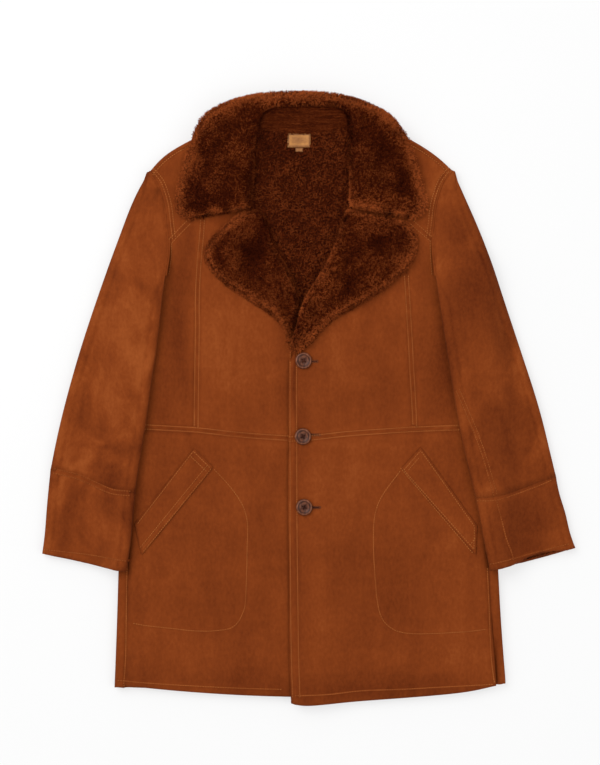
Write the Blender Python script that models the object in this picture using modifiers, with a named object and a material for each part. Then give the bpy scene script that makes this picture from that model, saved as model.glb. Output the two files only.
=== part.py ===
"""A man's three-quarter-length shearling coat, buttoned and laid flat on its back.

The coat lies in the XY plane on z = 0, collar towards +Y, the wearer's left at +X.
Every cut piece is a closed wall lofted between its own seams. Heights are stacked
from the surface up: tucked collar leaf, back, fronts, lapels and collar, sleeves.
Sizes are in millimetres here and are turned into metres when a mesh is made.
"""
import math
from collections import namedtuple

import bmesh
import bpy
import numpy as np

COAT_NAME = "shearling_coat"
MM = 0.001

# Driving sizes, in millimetres
CENTRE_SHIFT = -9.0        # from the button line to the middle of the coat's width
WALL = 8.0                 # skin with its wool pressed flat
HIDDEN_WALL = 5.0          # the right front where the left front presses on it
LAYER_GAP = 0.8            # between pieces that lie on each other
SEAM_GAP = 0.3             # between pieces sewn edge to edge
SIDE_WRAP = 15.0           # how far the back comes round to the front at the sides
SHOULDER_WRAP = 7.0        # the same along the shoulders
SLEEVE_WRAP = 14.0         # how far the top sleeve goes round the sleeve's edges
EDGE_ROUND = 4.0           # rounding of a turned edge
LEAF_WALL = 11.0           # the collar leaf tucked under the back neck
FUR = 13.0                 # lapel wool and skin, uncrushed
FOLD_FOOT = 8.3            # width of the rolled lip at a fold line
FOOT_END_RIGHT = 184.0     # below this height the lapel's fold lies on the front
FOOT_END_LEFT = 98.0
OVERLAP_END = 28.0         # how far the right front runs under the left one
OVERLAP_RAMP = 36.0        # the left front comes down from it over this width
SLOPE_CLEARANCE = 2.4      # more room between layers on the middle of a slope
LIFT_RAMP = 90.0           # the back comes down from the tucked leaf over this
BACK_YOKE_UP = 294.0       # height of the back yoke seam
UNDERARM_UP = 158.0        # height of the underarm point
SLEEVE_REST = 18.6         # the body's height under a sleeve
REST_RAMP = 36.0           # a sleeve comes down from the body over this width
BUTTON_RADIUS = 12.7
BUTTON_SEAT = 0.5
WELT_WALL = 2.4
POCKET_RAISE = 1.0

# Seams and edges. A row is a point of the seam on each side: its distance out from
# the button line and its height up from the middle of the coat.
Pair = namedtuple("Pair", "right_out right_up left_out left_up")

ARMHOLE = [
    Pair(238, 351, 232, 353),
    Pair(226, 336, 218, 336),
    Pair(218, 316, 211, 316),
    Pair(213, 296, 206, 296),
    Pair(210, 269, 203, 269),
    Pair(207, 243, 201, 245),
]
ARMHOLE_LOW = [
    Pair(207, 243, 201, 245),
    Pair(208, 218, 202, 218),
    Pair(212, 192, 204, 192),
]
SLEEVE_INNER = [
    Pair(212, 192, 204, 192),
    Pair(216, 165, 208, 165),
    Pair(221, 107, 216, 107),
    Pair(232, 32, 227, 37),
    Pair(242, -42, 240, -41),
    Pair(254, -115, 255, -110),
    Pair(258, -145, 266, -153),
]
HIDDEN_ARMHOLE = [
    Pair(212, 192, 204, 192),
    Pair(228, 172, 221, 172),
    Pair(258, 158, 262, 158),
]
SLEEVE_OUTER = [
    Pair(239, 350, 233, 352),
    Pair(260, 314, 250, 314),
    Pair(284, 252, 277, 252),
    Pair(314, 169, 306, 169),
    Pair(345, 76, 337, 76),
    Pair(371, -17, 367, -17),
    Pair(387, -87, 384, -87),
    Pair(391, -110, 392, -120),
]
ELBOW = [
    Pair(258, -145, 266, -153),
    Pair(298, -141, 297, -151),
    Pair(323, -131, 326, -143),
    Pair(348, -118, 360, -131),
    Pair(391, -110, 392, -120),
]
CUFF_INNER = [
    Pair(258, -145, 266, -153),
    Pair(261, -177, 274, -194),
    Pair(264, -214, 281, -231),
    Pair(272, -267, 288, -265),
]
CUFF_OUTER = [
    Pair(391, -110, 392, -120),
    Pair(396, -157, 399, -157),
    Pair(397.5, -175, 407, -175),
    Pair(399, -203, 412, -203),
    Pair(404, -240, 422, -231),
]
CUFF_HEM = [
    Pair(272, -267, 288, -265),
    Pair(306, -261, 327, -257),
    Pair(353, -250, 379, -244),
    Pair(404, -240, 422, -231),
]
SIDE_EDGE = [
    Pair(266, 158, 272, 158),
    Pair(277, 60, 286, 60),
    Pair(280, -48, 292, -48),
    Pair(283, -157, 298, -157),
    Pair(286, -273, 303, -273),
    Pair(289, -374, 308, -365),
    Pair(292, -447, 314, -441),
]
SHOULDER = [
    Pair(238, 351, 232, 353),
    Pair(221, 372, 215, 370),
    Pair(201, 386, 193, 386),
    Pair(174, 400, 171, 399),
    Pair(136, 417, 136, 415),
    Pair(97, 429, 97, 429),
]
NECK_SEAM = [(-78, 424), (-55, 417), (-25, 413), (0, 412), (25, 413), (55, 417), (78, 424)]
YOKE_SEAM = [
    Pair(207, 243, 201, 245),
    Pair(179, 271, 177, 266),
    Pair(153, 288, 156, 281),
]
YOKE_SEAM_HIDDEN = [
    Pair(153, 288, 156, 281),
    Pair(98.5, 322, 91, 318),
]
VERTICAL_SEAM = [
    Pair(165, -48, 173, -47),
    Pair(165, 29, 168, 60),
    Pair(163, 107, 164, 138),
    Pair(160, 200, 160, 200),
    Pair(153, 288, 156, 281),
]
WAIST_OUTER = [
    Pair(265, -41, 277, -43),
    Pair(236, -44, 243, -45),
    Pair(165, -48, 173, -47),
]
WAIST_INNER_RIGHT = [(-165, -48), (-91, -56), (-19, -61), (28, -63)]
WAIST_INNER_LEFT = [(173, -47), (94, -52), (58, -55), (13, -60), (-21, -62)]
HEM_RIGHT = [(-277, -448), (-210, -454), (-150, -458), (-81, -461), (-19, -462), (28, -464)]
HEM_LEFT = [(299, -444), (275, -451), (229, -457), (159, -463), (89, -468), (43, -472),
            (-4, -475), (-18, -470)]
HEM_BACK = [(-292, -447), (-210, -450), (-19, -457), (110, -462), (229, -452), (314, -441)]

# Lapels, from the collar down: the roll line and the outer edge.
FoldRow = namedtuple("FoldRow", "roll_x roll_y edge_x edge_y")
LAPEL_RIGHT = [
    FoldRow(-73, 291, -95, 289),
    FoldRow(-66, 288, -108, 278),
    FoldRow(-61, 283, -128, 259),
    FoldRow(-57, 272, -150, 235),
    FoldRow(-51, 256, -151, 221),
    FoldRow(-44, 236, -145, 203),
    FoldRow(-34, 217, -122, 179),
    FoldRow(-23, 197, -95, 161),
    FoldRow(-13, 176, -66, 143),
    FoldRow(-4, 157, -41, 125),
    FoldRow(-7, 133, -28, 111),
    FoldRow(-12, 110, -24, 98),
    FoldRow(-18, 90, -23, 86),
]
LAPEL_LEFT = [
    FoldRow(69, 293, 128, 282),
    FoldRow(66, 288, 158, 273),
    FoldRow(62, 276, 176, 255),
    FoldRow(57, 258, 175, 230),
    FoldRow(49, 235, 164, 204),
    FoldRow(40, 214, 143, 186),
    FoldRow(29, 195, 117, 164),
    FoldRow(15, 173, 83, 144),
    FoldRow(1, 152, 51, 127),
    FoldRow(-5, 132, 31, 110),
    FoldRow(-10, 110, 17, 93),
    FoldRow(-16, 88, 5, 79),
    FoldRow(-20, 75, -11, 71),
]
FRONT_EDGE_LEFT = [(-21, -62), (-22, -48), (-22, 45), (-20, 66)]
SKIRT_EDGE_LEFT = [(-18, -470), (-20.5, -405), (-21, -312), (-23, -110), (-21, -62)]

# The collar, from the right end round the neck to the left end: the inner roll, the
# outer edge, the crest's and the leaf's heights, and where the leaf's hidden edge is
# tucked under the back. Without tuck_x the leaf lies on the front.
CollarRow = namedtuple("CollarRow", "roll_x roll_y edge_x edge_y crest leaf tuck_x tuck_y")
COLLAR = [
    CollarRow(-83, 294, -181, 277, 36, 29, None, None),
    CollarRow(-81, 299, -194, 285, 38, 31, None, None),
    CollarRow(-80, 308, -198, 300, 40, 32, None, None),
    CollarRow(-77, 331, -193, 328, 42, 33, None, None),
    CollarRow(-75, 355, -187, 353, 43, 33, None, None),
    CollarRow(-75, 378, -177, 382, 44, 34, None, None),
    CollarRow(-74, 398, -169, 409, 46, 35, None, None),
    CollarRow(-72, 413, -160, 431, 47, 37, -140, 424),
    CollarRow(-67, 429, -146, 444, 47, 39, -106, 410),
    CollarRow(-60, 442, -125, 456, 46, 40, -88, 405),
    CollarRow(-47, 448, -89, 468, 44, 40, -62, 401),
    CollarRow(-24, 449, -43, 474, 42, 40, -30, 399),
    CollarRow(0, 449, 0, 475, 41, 40, 0, 398),
    CollarRow(24, 449, 43, 473, 42, 40, 30, 399),
    CollarRow(47, 449, 83, 464, 44, 40, 62, 401),
    CollarRow(60, 444, 119, 449, 46, 40, 88, 405),
    CollarRow(67, 432, 139, 435, 47, 39, 106, 410),
    CollarRow(70, 415, 154, 415, 47, 37, 150, 418.5),
    CollarRow(72, 396, 165, 396, 46, 35, None, None),
    CollarRow(72, 378, 173, 376, 44, 34, None, None),
    CollarRow(72, 355, 181, 348, 43, 33, None, None),
    CollarRow(73, 331, 187, 325, 42, 33, None, None),
    CollarRow(72, 308, 191, 299, 40, 32, None, None),
    CollarRow(73, 301, 186, 286, 38, 31, None, None),
    CollarRow(74, 296, 172, 277, 36, 29, None, None),
]

# The largest soft folds: where, which way they run, and how far they stand up.
Fold = namedtuple("Fold", "x y angle length width height")
FOLDS = [
    Fold(-300, 120, -66, 90, 22, 2.0),
    Fold(-330, 0, -40, 60, 20, 1.6),
    Fold(-285, 30, -72, 100, 24, -1.4),
    Fold(-345, -60, -75, 70, 22, 1.5),
    Fold(285, 150, 68, 90, 24, 1.8),
    Fold(330, -20, 55, 70, 22, 1.6),
    Fold(300, -80, 74, 80, 24, -1.3),
    Fold(-120, 60, 86, 110, 30, 1.4),
    Fold(110, 70, 94, 120, 30, 1.4),
    Fold(-215, 60, 84, 90, 22, -1.4),
    Fold(220, 40, 97, 90, 22, -1.4),
    Fold(60, -260, 88, 130, 34, 1.6),
    Fold(-60, -330, 92, 120, 34, 1.4),
    Fold(210, -330, 84, 100, 30, -1.2),
]

BUTTONS = [("button_top", 1, 59), ("button_middle", 0, -58), ("button_lower", 2, -167)]
WELT_RIGHT = [(-168, -77), (-260, -194), (-249, -240), (-139, -105)]
WELT_LEFT = [(182, -75), (269, -196), (267, -240), (153, -107)]
POCKET_RIGHT = [(-138, -104), (-97, -160), (-86, -227), (-88, -318), (-104, -352),
                (-160, -359), (-270, -349), (-262, -215)]
POCKET_LEFT = [(153, -106), (112, -176), (109, -255), (119, -337), (138, -360),
               (204, -361), (286, -355), (272, -215)]
LABEL_CENTRE = (-6, 399)
LABEL_SIZE = (35.6, 21.7)
TAB_CENTRE = (-5.5, 384.4)
TAB_SIZE = (12.0, 6.4)
LABEL_WALL = 1.0

# Colours as linear RGB, and roughness
Finish = namedtuple("Finish", "red green blue roughness")
SUEDE = Finish(0.230, 0.048, 0.009, 0.95)
WOOL = Finish(0.058, 0.010, 0.003, 0.98)
HORN = Finish(0.045, 0.020, 0.017, 0.35)
WOVEN = Finish(0.460, 0.190, 0.060, 0.85)


def smoothstep(value):
    """A soft step from 0 to 1."""
    part = np.clip(value, 0.0, 1.0)
    return part * part * (3.0 - 2.0 * part)


class Curve:
    """A smooth plan curve through a few points, read by its fraction of length."""

    def __init__(self, points, smooth=True):
        points = np.array(points, dtype=float)
        if smooth and len(points) > 2:
            points = self.spline(points)
        steps = np.linalg.norm(np.diff(points, axis=0), axis=1)
        self.points = points
        self.lengths = np.concatenate([[0.0], np.cumsum(steps)])
        self.length = self.lengths[-1]

    @staticmethod
    def spline(points, steps=12):
        """Centripetal-like Catmull-Rom points through the given ones."""
        first = 2 * points[0] - points[1]
        last = 2 * points[-1] - points[-2]
        padded = np.vstack([first, points, last])
        result = []
        for index in range(1, len(padded) - 2):
            before, start, end, after = padded[index - 1:index + 3]
            span = np.linalg.norm(end - start)
            reach_in = span / max(np.linalg.norm(end - before), 1e-9)
            reach_out = span / max(np.linalg.norm(after - start), 1e-9)
            slope_in = (end - before) * reach_in
            slope_out = (after - start) * reach_out
            for step in range(steps):
                t = step / steps
                result.append((2 * t**3 - 3 * t**2 + 1) * start
                              + (t**3 - 2 * t**2 + t) * slope_in
                              + (3 * t**2 - 2 * t**3) * end
                              + (t**3 - t**2) * slope_out)
        result.append(padded[-2])
        return np.array(result)

    def at(self, fraction):
        """The point at a fraction, or an array of them."""
        place = np.asarray(fraction) * self.length
        x = np.interp(place, self.lengths, self.points[:, 0])
        y = np.interp(place, self.lengths, self.points[:, 1])
        return np.stack([x, y], axis=-1)


def side_curve(table, side):
    """The seam of one side; side is -1 for the wearer's right and +1 for the left."""
    if side < 0:
        return Curve([(-row.right_out, row.right_up) for row in table])
    return Curve([(row.left_out, row.left_up) for row in table])


def joined(*curves):
    """One curve along several that follow each other."""
    points = [curves[0].points]
    for curve in curves[1:]:
        points.append(curve.points[1:])
    return Curve(np.vstack(points), smooth=False)


def even(count):
    """Fractions from 0 to 1 in even steps."""
    return [index / count for index in range(count + 1)]


# ---------------------------------------------------------------- heights

def lookup(table, y):
    """Interpolates x from (y, x) pairs that rise in y."""
    heights = [row[0] for row in table]
    places = [row[1] for row in table]
    return np.interp(y, heights, places)


VISIBLE_LEFT_EDGE = [(-475, -18), (-312, -21), (-110, -23), (45, -22), (72, -19),
                     (90, -16), (110, -11), (133, -6), (153, 1), (220, 20)]
HIDDEN_RIGHT_EDGE = [(-475, OVERLAP_END), (60, OVERLAP_END), (100, 22), (130, 8),
                     (150, -8), (176, -30), (240, -70)]
TUCKED_LEAF_EDGE = [(-170, 470), (-125, 432), (-89, 414), (-43, 402), (0, 399),
                    (43, 402), (83, 412), (119, 430), (165, 470)]


def leaf_lift(x, y):
    """How far the tucked collar leaf lifts the pieces over it."""
    places = [row[0] for row in TUCKED_LEAF_EDGE]
    heights = [row[1] for row in TUCKED_LEAF_EDGE]
    edge = np.interp(x, places, heights)
    return (LEAF_WALL + LAYER_GAP) * smoothstep((y - edge + 100.0) / LIFT_RAMP)


def fold_height(x, y):
    """The soft folds' height at a point."""
    total = 0.0
    for fold in FOLDS:
        angle = math.radians(fold.angle)
        along = (x - fold.x) * math.cos(angle) + (y - fold.y) * math.sin(angle)
        across = (y - fold.y) * math.cos(angle) - (x - fold.x) * math.sin(angle)
        bump = np.exp(-(along / fold.length) ** 2 - (across / fold.width) ** 2)
        total = total + fold.height * bump
    return total


def inside_share(x, y, corners, soft):
    """1 inside a convex outline, fading to 0 at its border over a soft width."""
    share = 1.0
    count = len(corners)
    middle = np.mean(np.array(corners, dtype=float), axis=0)
    for index in range(count):
        start = np.array(corners[index], dtype=float)
        end = np.array(corners[(index + 1) % count], dtype=float)
        normal = np.array([-(end - start)[1], (end - start)[0]])
        normal = normal / np.linalg.norm(normal)
        if np.dot(middle - start, normal) < 0:
            normal = -normal
        depth = (x - start[0]) * normal[0] + (y - start[1]) * normal[1]
        share = share * smoothstep(depth / soft)
    return share


def pocket_height(x, y):
    """The pocket bags under the skirts lift them a little."""
    right = inside_share(x, y, POCKET_RIGHT, 14.0)
    left = inside_share(x, y, POCKET_LEFT, 14.0)
    return POCKET_RAISE * (right + left)


def back_bottom(x, y):
    return leaf_lift(x, y)


def back_top(x, y):
    return back_bottom(x, y) + WALL


def front_base(x, y):
    """The fronts' underside, a little clearer where the back slopes."""
    share = leaf_lift(x, y) / (LEAF_WALL + LAYER_GAP)
    return back_top(x, y) + LAYER_GAP + SLOPE_CLEARANCE * 4.0 * share * (1.0 - share)


def right_front_top(x, y):
    """The right front, thinner where the left front presses on it."""
    edge = lookup(VISIBLE_LEFT_EDGE, y)
    press = smoothstep((x - edge + 13.0) / 10.0)
    return front_base(x, y) + WALL - (WALL - HIDDEN_WALL) * press + front_relief(x, y)


def front_relief(x, y):
    """Folds and pockets on the fronts."""
    return fold_height(x, y) + pocket_height(x, y)


def left_front_bottom(x, y):
    """The left front, raised over the hidden edge of the right one."""
    edge = lookup(HIDDEN_RIGHT_EDGE, y)
    over = 1.0 - smoothstep((x - edge - 3.0) / OVERLAP_RAMP)
    return front_base(x, y) + (HIDDEN_WALL + LAYER_GAP + 0.6) * over


def left_front_top(x, y):
    return left_front_bottom(x, y) + WALL + front_relief(x, y)


def side_out(y, side):
    """How far out the body's side edge is at a height."""
    if side < 0:
        rows = [(row.right_up, row.right_out) for row in reversed(SIDE_EDGE)]
    else:
        rows = [(row.left_up, row.left_out) for row in reversed(SIDE_EDGE)]
    return lookup(rows, y)


def sleeve_base(x, y, side):
    """What a sleeve lies on: the body's side, then the surface beyond it."""
    beyond = np.abs(x) - side_out(y, side)
    ramp = 1.0 - smoothstep((beyond - 5.0) / REST_RAMP)
    attached = 1.0 - smoothstep((y - 196.0) / 46.0)
    return SLEEVE_REST * ramp * attached


# ---------------------------------------------------------------- meshes

def new_material(name, finish):
    """A Principled material of one colour."""
    material = bpy.data.materials.new(name)
    material.use_nodes = True
    shader = material.node_tree.nodes["Principled BSDF"]
    shader.inputs["Base Color"].default_value = (finish.red, finish.green, finish.blue, 1.0)
    shader.inputs["Roughness"].default_value = finish.roughness
    shader.inputs["Metallic"].default_value = 0.0
    return material


def add_object(name, mesh, finish, collection):
    """Puts a mesh in the coat's collection with a material of its own."""
    mesh.shade_smooth()
    mesh.set_sharp_from_angle(angle=math.radians(40.0))
    mesh.materials.append(new_material(name, finish))
    thing = bpy.data.objects.new(name, mesh)
    collection.objects.link(thing)
    return thing


def lofted_plan(left, right, bottom=None, top=None, rows=(), columns=None):
    """Plan points of a panel between two edges, as an array [row][column][xy].

    left and right are curves read at the row fractions. bottom and top give the
    first and last row their curve. columns gives a row's fractions for its width.
    """
    starts = left.at(rows)
    ends = right.at(rows)
    plan = []
    for index, row in enumerate(rows):
        width = np.linalg.norm(ends[index] - starts[index])
        fractions = np.array(columns(width) if callable(columns) else columns)
        line = starts[index] + np.outer(fractions, ends[index] - starts[index])
        for curve, share in ((bottom, 1.0 - row), (top, row)):
            if curve is None:
                continue
            chord = curve.points[0] + np.outer(fractions, curve.points[-1] - curve.points[0])
            line = line + share * (curve.at(fractions) - chord)
        plan.append(line)
    return np.array(plan)


def inset_plan(plan, sides, gap=SEAM_GAP):
    """Moves the named border sides in by half a seam gap: 'lrbt'."""
    moved = plan.copy()
    half = gap / 2.0
    pairs = {"l": (np.s_[:, 0], np.s_[:, 1]), "r": (np.s_[:, -1], np.s_[:, -2]),
             "b": (np.s_[0, :], np.s_[1, :]), "t": (np.s_[-1, :], np.s_[-2, :])}
    for side in sides:
        border, inner = pairs[side]
        along = np.gradient(plan[border], axis=0)
        normal = np.stack([-along[:, 1], along[:, 0]], axis=-1)
        normal /= np.maximum(np.linalg.norm(normal, axis=1, keepdims=True), 1e-9)
        inward = plan[inner] - plan[border]
        sign = np.sign(np.sum(inward * normal, axis=1, keepdims=True))
        moved[border] = moved[border] + normal * sign * half
    return moved


def face_outwards(shape):
    """Makes a closed shape's faces point out."""
    bmesh.ops.recalc_face_normals(shape, faces=shape.faces[:])
    if shape.calc_volume(signed=True) < 0.0:
        bmesh.ops.reverse_faces(shape, faces=shape.faces[:])


def wall_mesh(name, plan, bottom, top):
    """A closed wall: a grid laid on the plan, extruded, then set to its heights."""
    rows, columns = plan.shape[:2]
    grid = bmesh.new()
    bmesh.ops.create_grid(grid, x_segments=columns - 1, y_segments=rows - 1, size=1.0)
    grid.verts.ensure_lookup_table()
    order = sorted(grid.verts, key=lambda vert: (round(vert.co.y, 4), round(vert.co.x, 4)))
    low = {}
    for index, vert in enumerate(order):
        low[vert] = divmod(index, columns)
    places = {(round(vert.co.x, 4), round(vert.co.y, 4)): cell for vert, cell in low.items()}
    extruded = bmesh.ops.extrude_face_region(grid, geom=grid.faces[:])
    high = [item for item in extruded["geom"] if isinstance(item, bmesh.types.BMVert)]
    cells = [(vert, places[(round(vert.co.x, 4), round(vert.co.y, 4))], top) for vert in high]
    cells += [(vert, cell, bottom) for vert, cell in low.items()]
    for vert, (row, column), heights in cells:
        x, y = plan[row][column]
        vert.co = ((x + CENTRE_SHIFT) * MM, y * MM, heights[row][column] * MM)
    face_outwards(grid)
    mesh = bpy.data.meshes.new(name)
    grid.to_mesh(mesh)
    grid.free()
    return mesh


def border_distance(plan, side):
    """Distance of each plan point from one border side of its panel."""
    if side in "lr":
        steps = np.linalg.norm(np.diff(plan, axis=1), axis=2)
        total = np.concatenate([np.zeros((len(plan), 1)), np.cumsum(steps, axis=1)], axis=1)
    else:
        steps = np.linalg.norm(np.diff(plan, axis=0), axis=2)
        total = np.concatenate([np.zeros((1, plan.shape[1])), np.cumsum(steps, axis=0)], axis=0)
    if side == "r":
        return total[:, -1:] - total
    if side == "t":
        return total[-1:, :] - total
    return total


def rounding(distance, radius):
    """How far a rounded edge's surface is in from the flat one."""
    reach = np.clip(radius - distance, 0.0, radius)
    return radius - np.sqrt(np.maximum(radius * radius - reach * reach, 0.0))


def rounded(plan, bottom, top, sides, radius=EDGE_ROUND):
    """Rounds a wall's free edges, above and below."""
    for side in sides:
        drop = rounding(border_distance(plan, side), radius)
        thick = np.maximum(top - bottom, 0.1)
        drop = np.minimum(drop, 0.42 * thick)
        top = top - drop
        bottom = bottom + drop
    return bottom, top


# ---------------------------------------------------------------- body

def add_front(side, collection):
    """The yoke, side, centre and skirt panels of one front."""
    word = "right" if side < 0 else "left"
    bottom_height = front_base if side < 0 else left_front_bottom
    top_height = right_front_top if side < 0 else left_front_top
    vertical = side_curve(VERTICAL_SEAM, side)
    yoke_outer = side_curve(YOKE_SEAM, side)
    yoke_inner = side_curve(YOKE_SEAM_HIDDEN, side)
    waist_outer = side_curve(WAIST_OUTER, side)
    armhole = side_curve(ARMHOLE, side)
    armhole_low = side_curve(ARMHOLE_LOW, side)
    hidden = side_curve(HIDDEN_ARMHOLE, side)

    # shoulder yoke, from the yoke seam up to the shoulder seam
    shoulder = side_curve(SHOULDER, side)
    slope = np.gradient(shoulder.points, axis=0)
    slope /= np.linalg.norm(slope, axis=1, keepdims=True)
    inward = np.stack([-side * np.abs(slope[:, 1]), -np.abs(slope[:, 0])], axis=-1)
    toward_neck = np.linspace(0.0, 1.0, len(slope))[:, None] ** 4
    inward = inward * (SHOULDER_WRAP + 0.6 + 4.5 * toward_neck)
    shoulder = Curve(shoulder.points + inward, smooth=False)
    armhole_end = reversed_curve(Curve(np.vstack([shoulder.points[0], armhole.points[3:]]),
                                       smooth=False))
    neck = Curve([yoke_inner.points[-1], shoulder.points[-1]])
    outer_steps = [step * yoke_outer.length for step in even(3)]
    inner_steps = [yoke_outer.length + step * yoke_inner.length for step in even(3)[1:]]
    whole = joined(yoke_outer, yoke_inner)
    fractions = np.array(outer_steps + inner_steps) / whole.length
    plan = lofted_plan(armhole_end, neck, whole, shoulder, even(6), fractions)
    plan = inset_plan(inset_plan(plan, "l", 4 * SEAM_GAP), "rb")
    x, y = plan[..., 0], plan[..., 1]
    add_object(f"front_{word}_yoke",
               wall_mesh(f"front_{word}_yoke", plan, bottom_height(x, y), top_height(x, y)),
               SUEDE, collection)

    # side panel, from the waist up to the yoke seam
    side_seam = side_seam_curve(side, -42.0, UNDERARM_UP - 6.0)
    outer = joined(side_seam, reversed_curve(hidden), reversed_curve(armhole_low))
    share = side_seam.length / outer.length
    low_share = (outer.length - armhole_low.length) / outer.length
    rows = [share * step for step in even(6)]
    rows += [share + (low_share - share) * step for step in even(3)[1:]]
    rows += [low_share + (1.0 - low_share) * step for step in even(3)[1:]]
    plan = lofted_plan(outer, vertical, waist_outer, yoke_outer, rows, even(3))
    plan = inset_plan(plan, "lrbt")
    x, y = plan[..., 0], plan[..., 1]
    add_object(f"front_{word}_side",
               wall_mesh(f"front_{word}_side", plan, bottom_height(x, y), top_height(x, y)),
               SUEDE, collection)

    # centre panel, from the waist up to the yoke seam, with the roll line
    waist_inner = Curve(WAIST_INNER_RIGHT if side < 0 else WAIST_INNER_LEFT)
    opening = opening_curve(side)
    if side < 0:
        columns = [0.0, 0.2, 0.4, 0.58, 0.7, 0.79, 0.88, 1.0]
    else:
        columns = [0.0, 0.2, 0.4, 0.56, 0.68, 0.8, 0.9, 0.97, 1.0]
    plan = lofted_plan(vertical, opening, waist_inner, yoke_inner, even(15), columns)
    plan = inset_plan(plan, "lbt")
    x, y = plan[..., 0], plan[..., 1]
    bottom, top = rounded(plan, bottom_height(x, y), top_height(x, y), "r", 3.0)
    add_object(f"front_{word}_centre", wall_mesh(f"front_{word}_centre", plan, bottom, top),
               SUEDE, collection)

    # skirt, from the hem up to the waist
    hem = Curve(HEM_RIGHT if side < 0 else HEM_LEFT)
    waist = joined(waist_outer, waist_inner)
    seam = side_seam_curve(side, -444.0, -46.0)
    if side < 0:
        edge = Curve([(OVERLAP_END, -464), (OVERLAP_END, -63)])
        outer_share = waist_outer.length / waist.length
        columns = [outer_share * step for step in even(3)]
        columns += [outer_share + (1.0 - outer_share) * step
                    for step in (0.2, 0.4, 0.58, 0.7, 0.79, 0.88, 1.0)]
    else:
        edge = Curve(SKIRT_EDGE_LEFT)
        outer_share = waist_outer.length / waist.length
        columns = [outer_share * step for step in even(3)]
        columns += [outer_share + (1.0 - outer_share) * step
                    for step in (0.2, 0.4, 0.56, 0.68, 0.8, 0.9, 0.97, 1.0)]
    rows = [0.0, 0.006, 0.02, 0.07] + [0.14 + 0.86 * step for step in even(10)]
    plan = lofted_plan(seam, edge, hem, waist, rows, columns)
    plan = inset_plan(plan, "lt")
    x, y = plan[..., 0], plan[..., 1]
    bottom, top = rounded(plan, bottom_height(x, y), top_height(x, y), "br", 3.5)
    add_object(f"front_{word}_skirt", wall_mesh(f"front_{word}_skirt", plan, bottom, top),
               SUEDE, collection)


def reversed_curve(curve):
    return Curve(curve.points[::-1], smooth=False)


def side_seam_curve(side, low, high):
    """The side seam, inside the side edge by the back's wrap, between two heights."""
    heights = np.linspace(low, high, 15)
    out = np.array([side_out(height, side) for height in heights]) - SIDE_WRAP - SEAM_GAP / 2
    return Curve(np.stack([side * out, heights], axis=-1), smooth=False)


def opening_curve(side):
    """The front edge from the waist up: hidden edge or edge, then the roll line."""
    table = LAPEL_RIGHT if side < 0 else LAPEL_LEFT
    roll = []
    for row in reversed(table):
        start = np.array([row.roll_x, row.roll_y], dtype=float)
        end = np.array([row.edge_x, row.edge_y], dtype=float)
        width = np.linalg.norm(end - start)
        foot = min(FOLD_FOOT + 2.2, 0.6 * width)
        roll.append(start + (end - start) / width * foot)
    if side < 0:
        points = [(28, -63), (28, 0), (28, 50), (24, 84), (13, 112), (2, 134), (-8, 150)]
        points += [tuple(point) for point in roll[4:-1]]
        points += [(-87, 288.5), (-98.5, 290), (-98.5, 322)]
    else:
        points = list(FRONT_EDGE_LEFT) + [tuple(point) for point in roll[1:-1]]
        points += [(82, 287), (91, 291), (91, 318)]
    return Curve(points)


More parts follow.
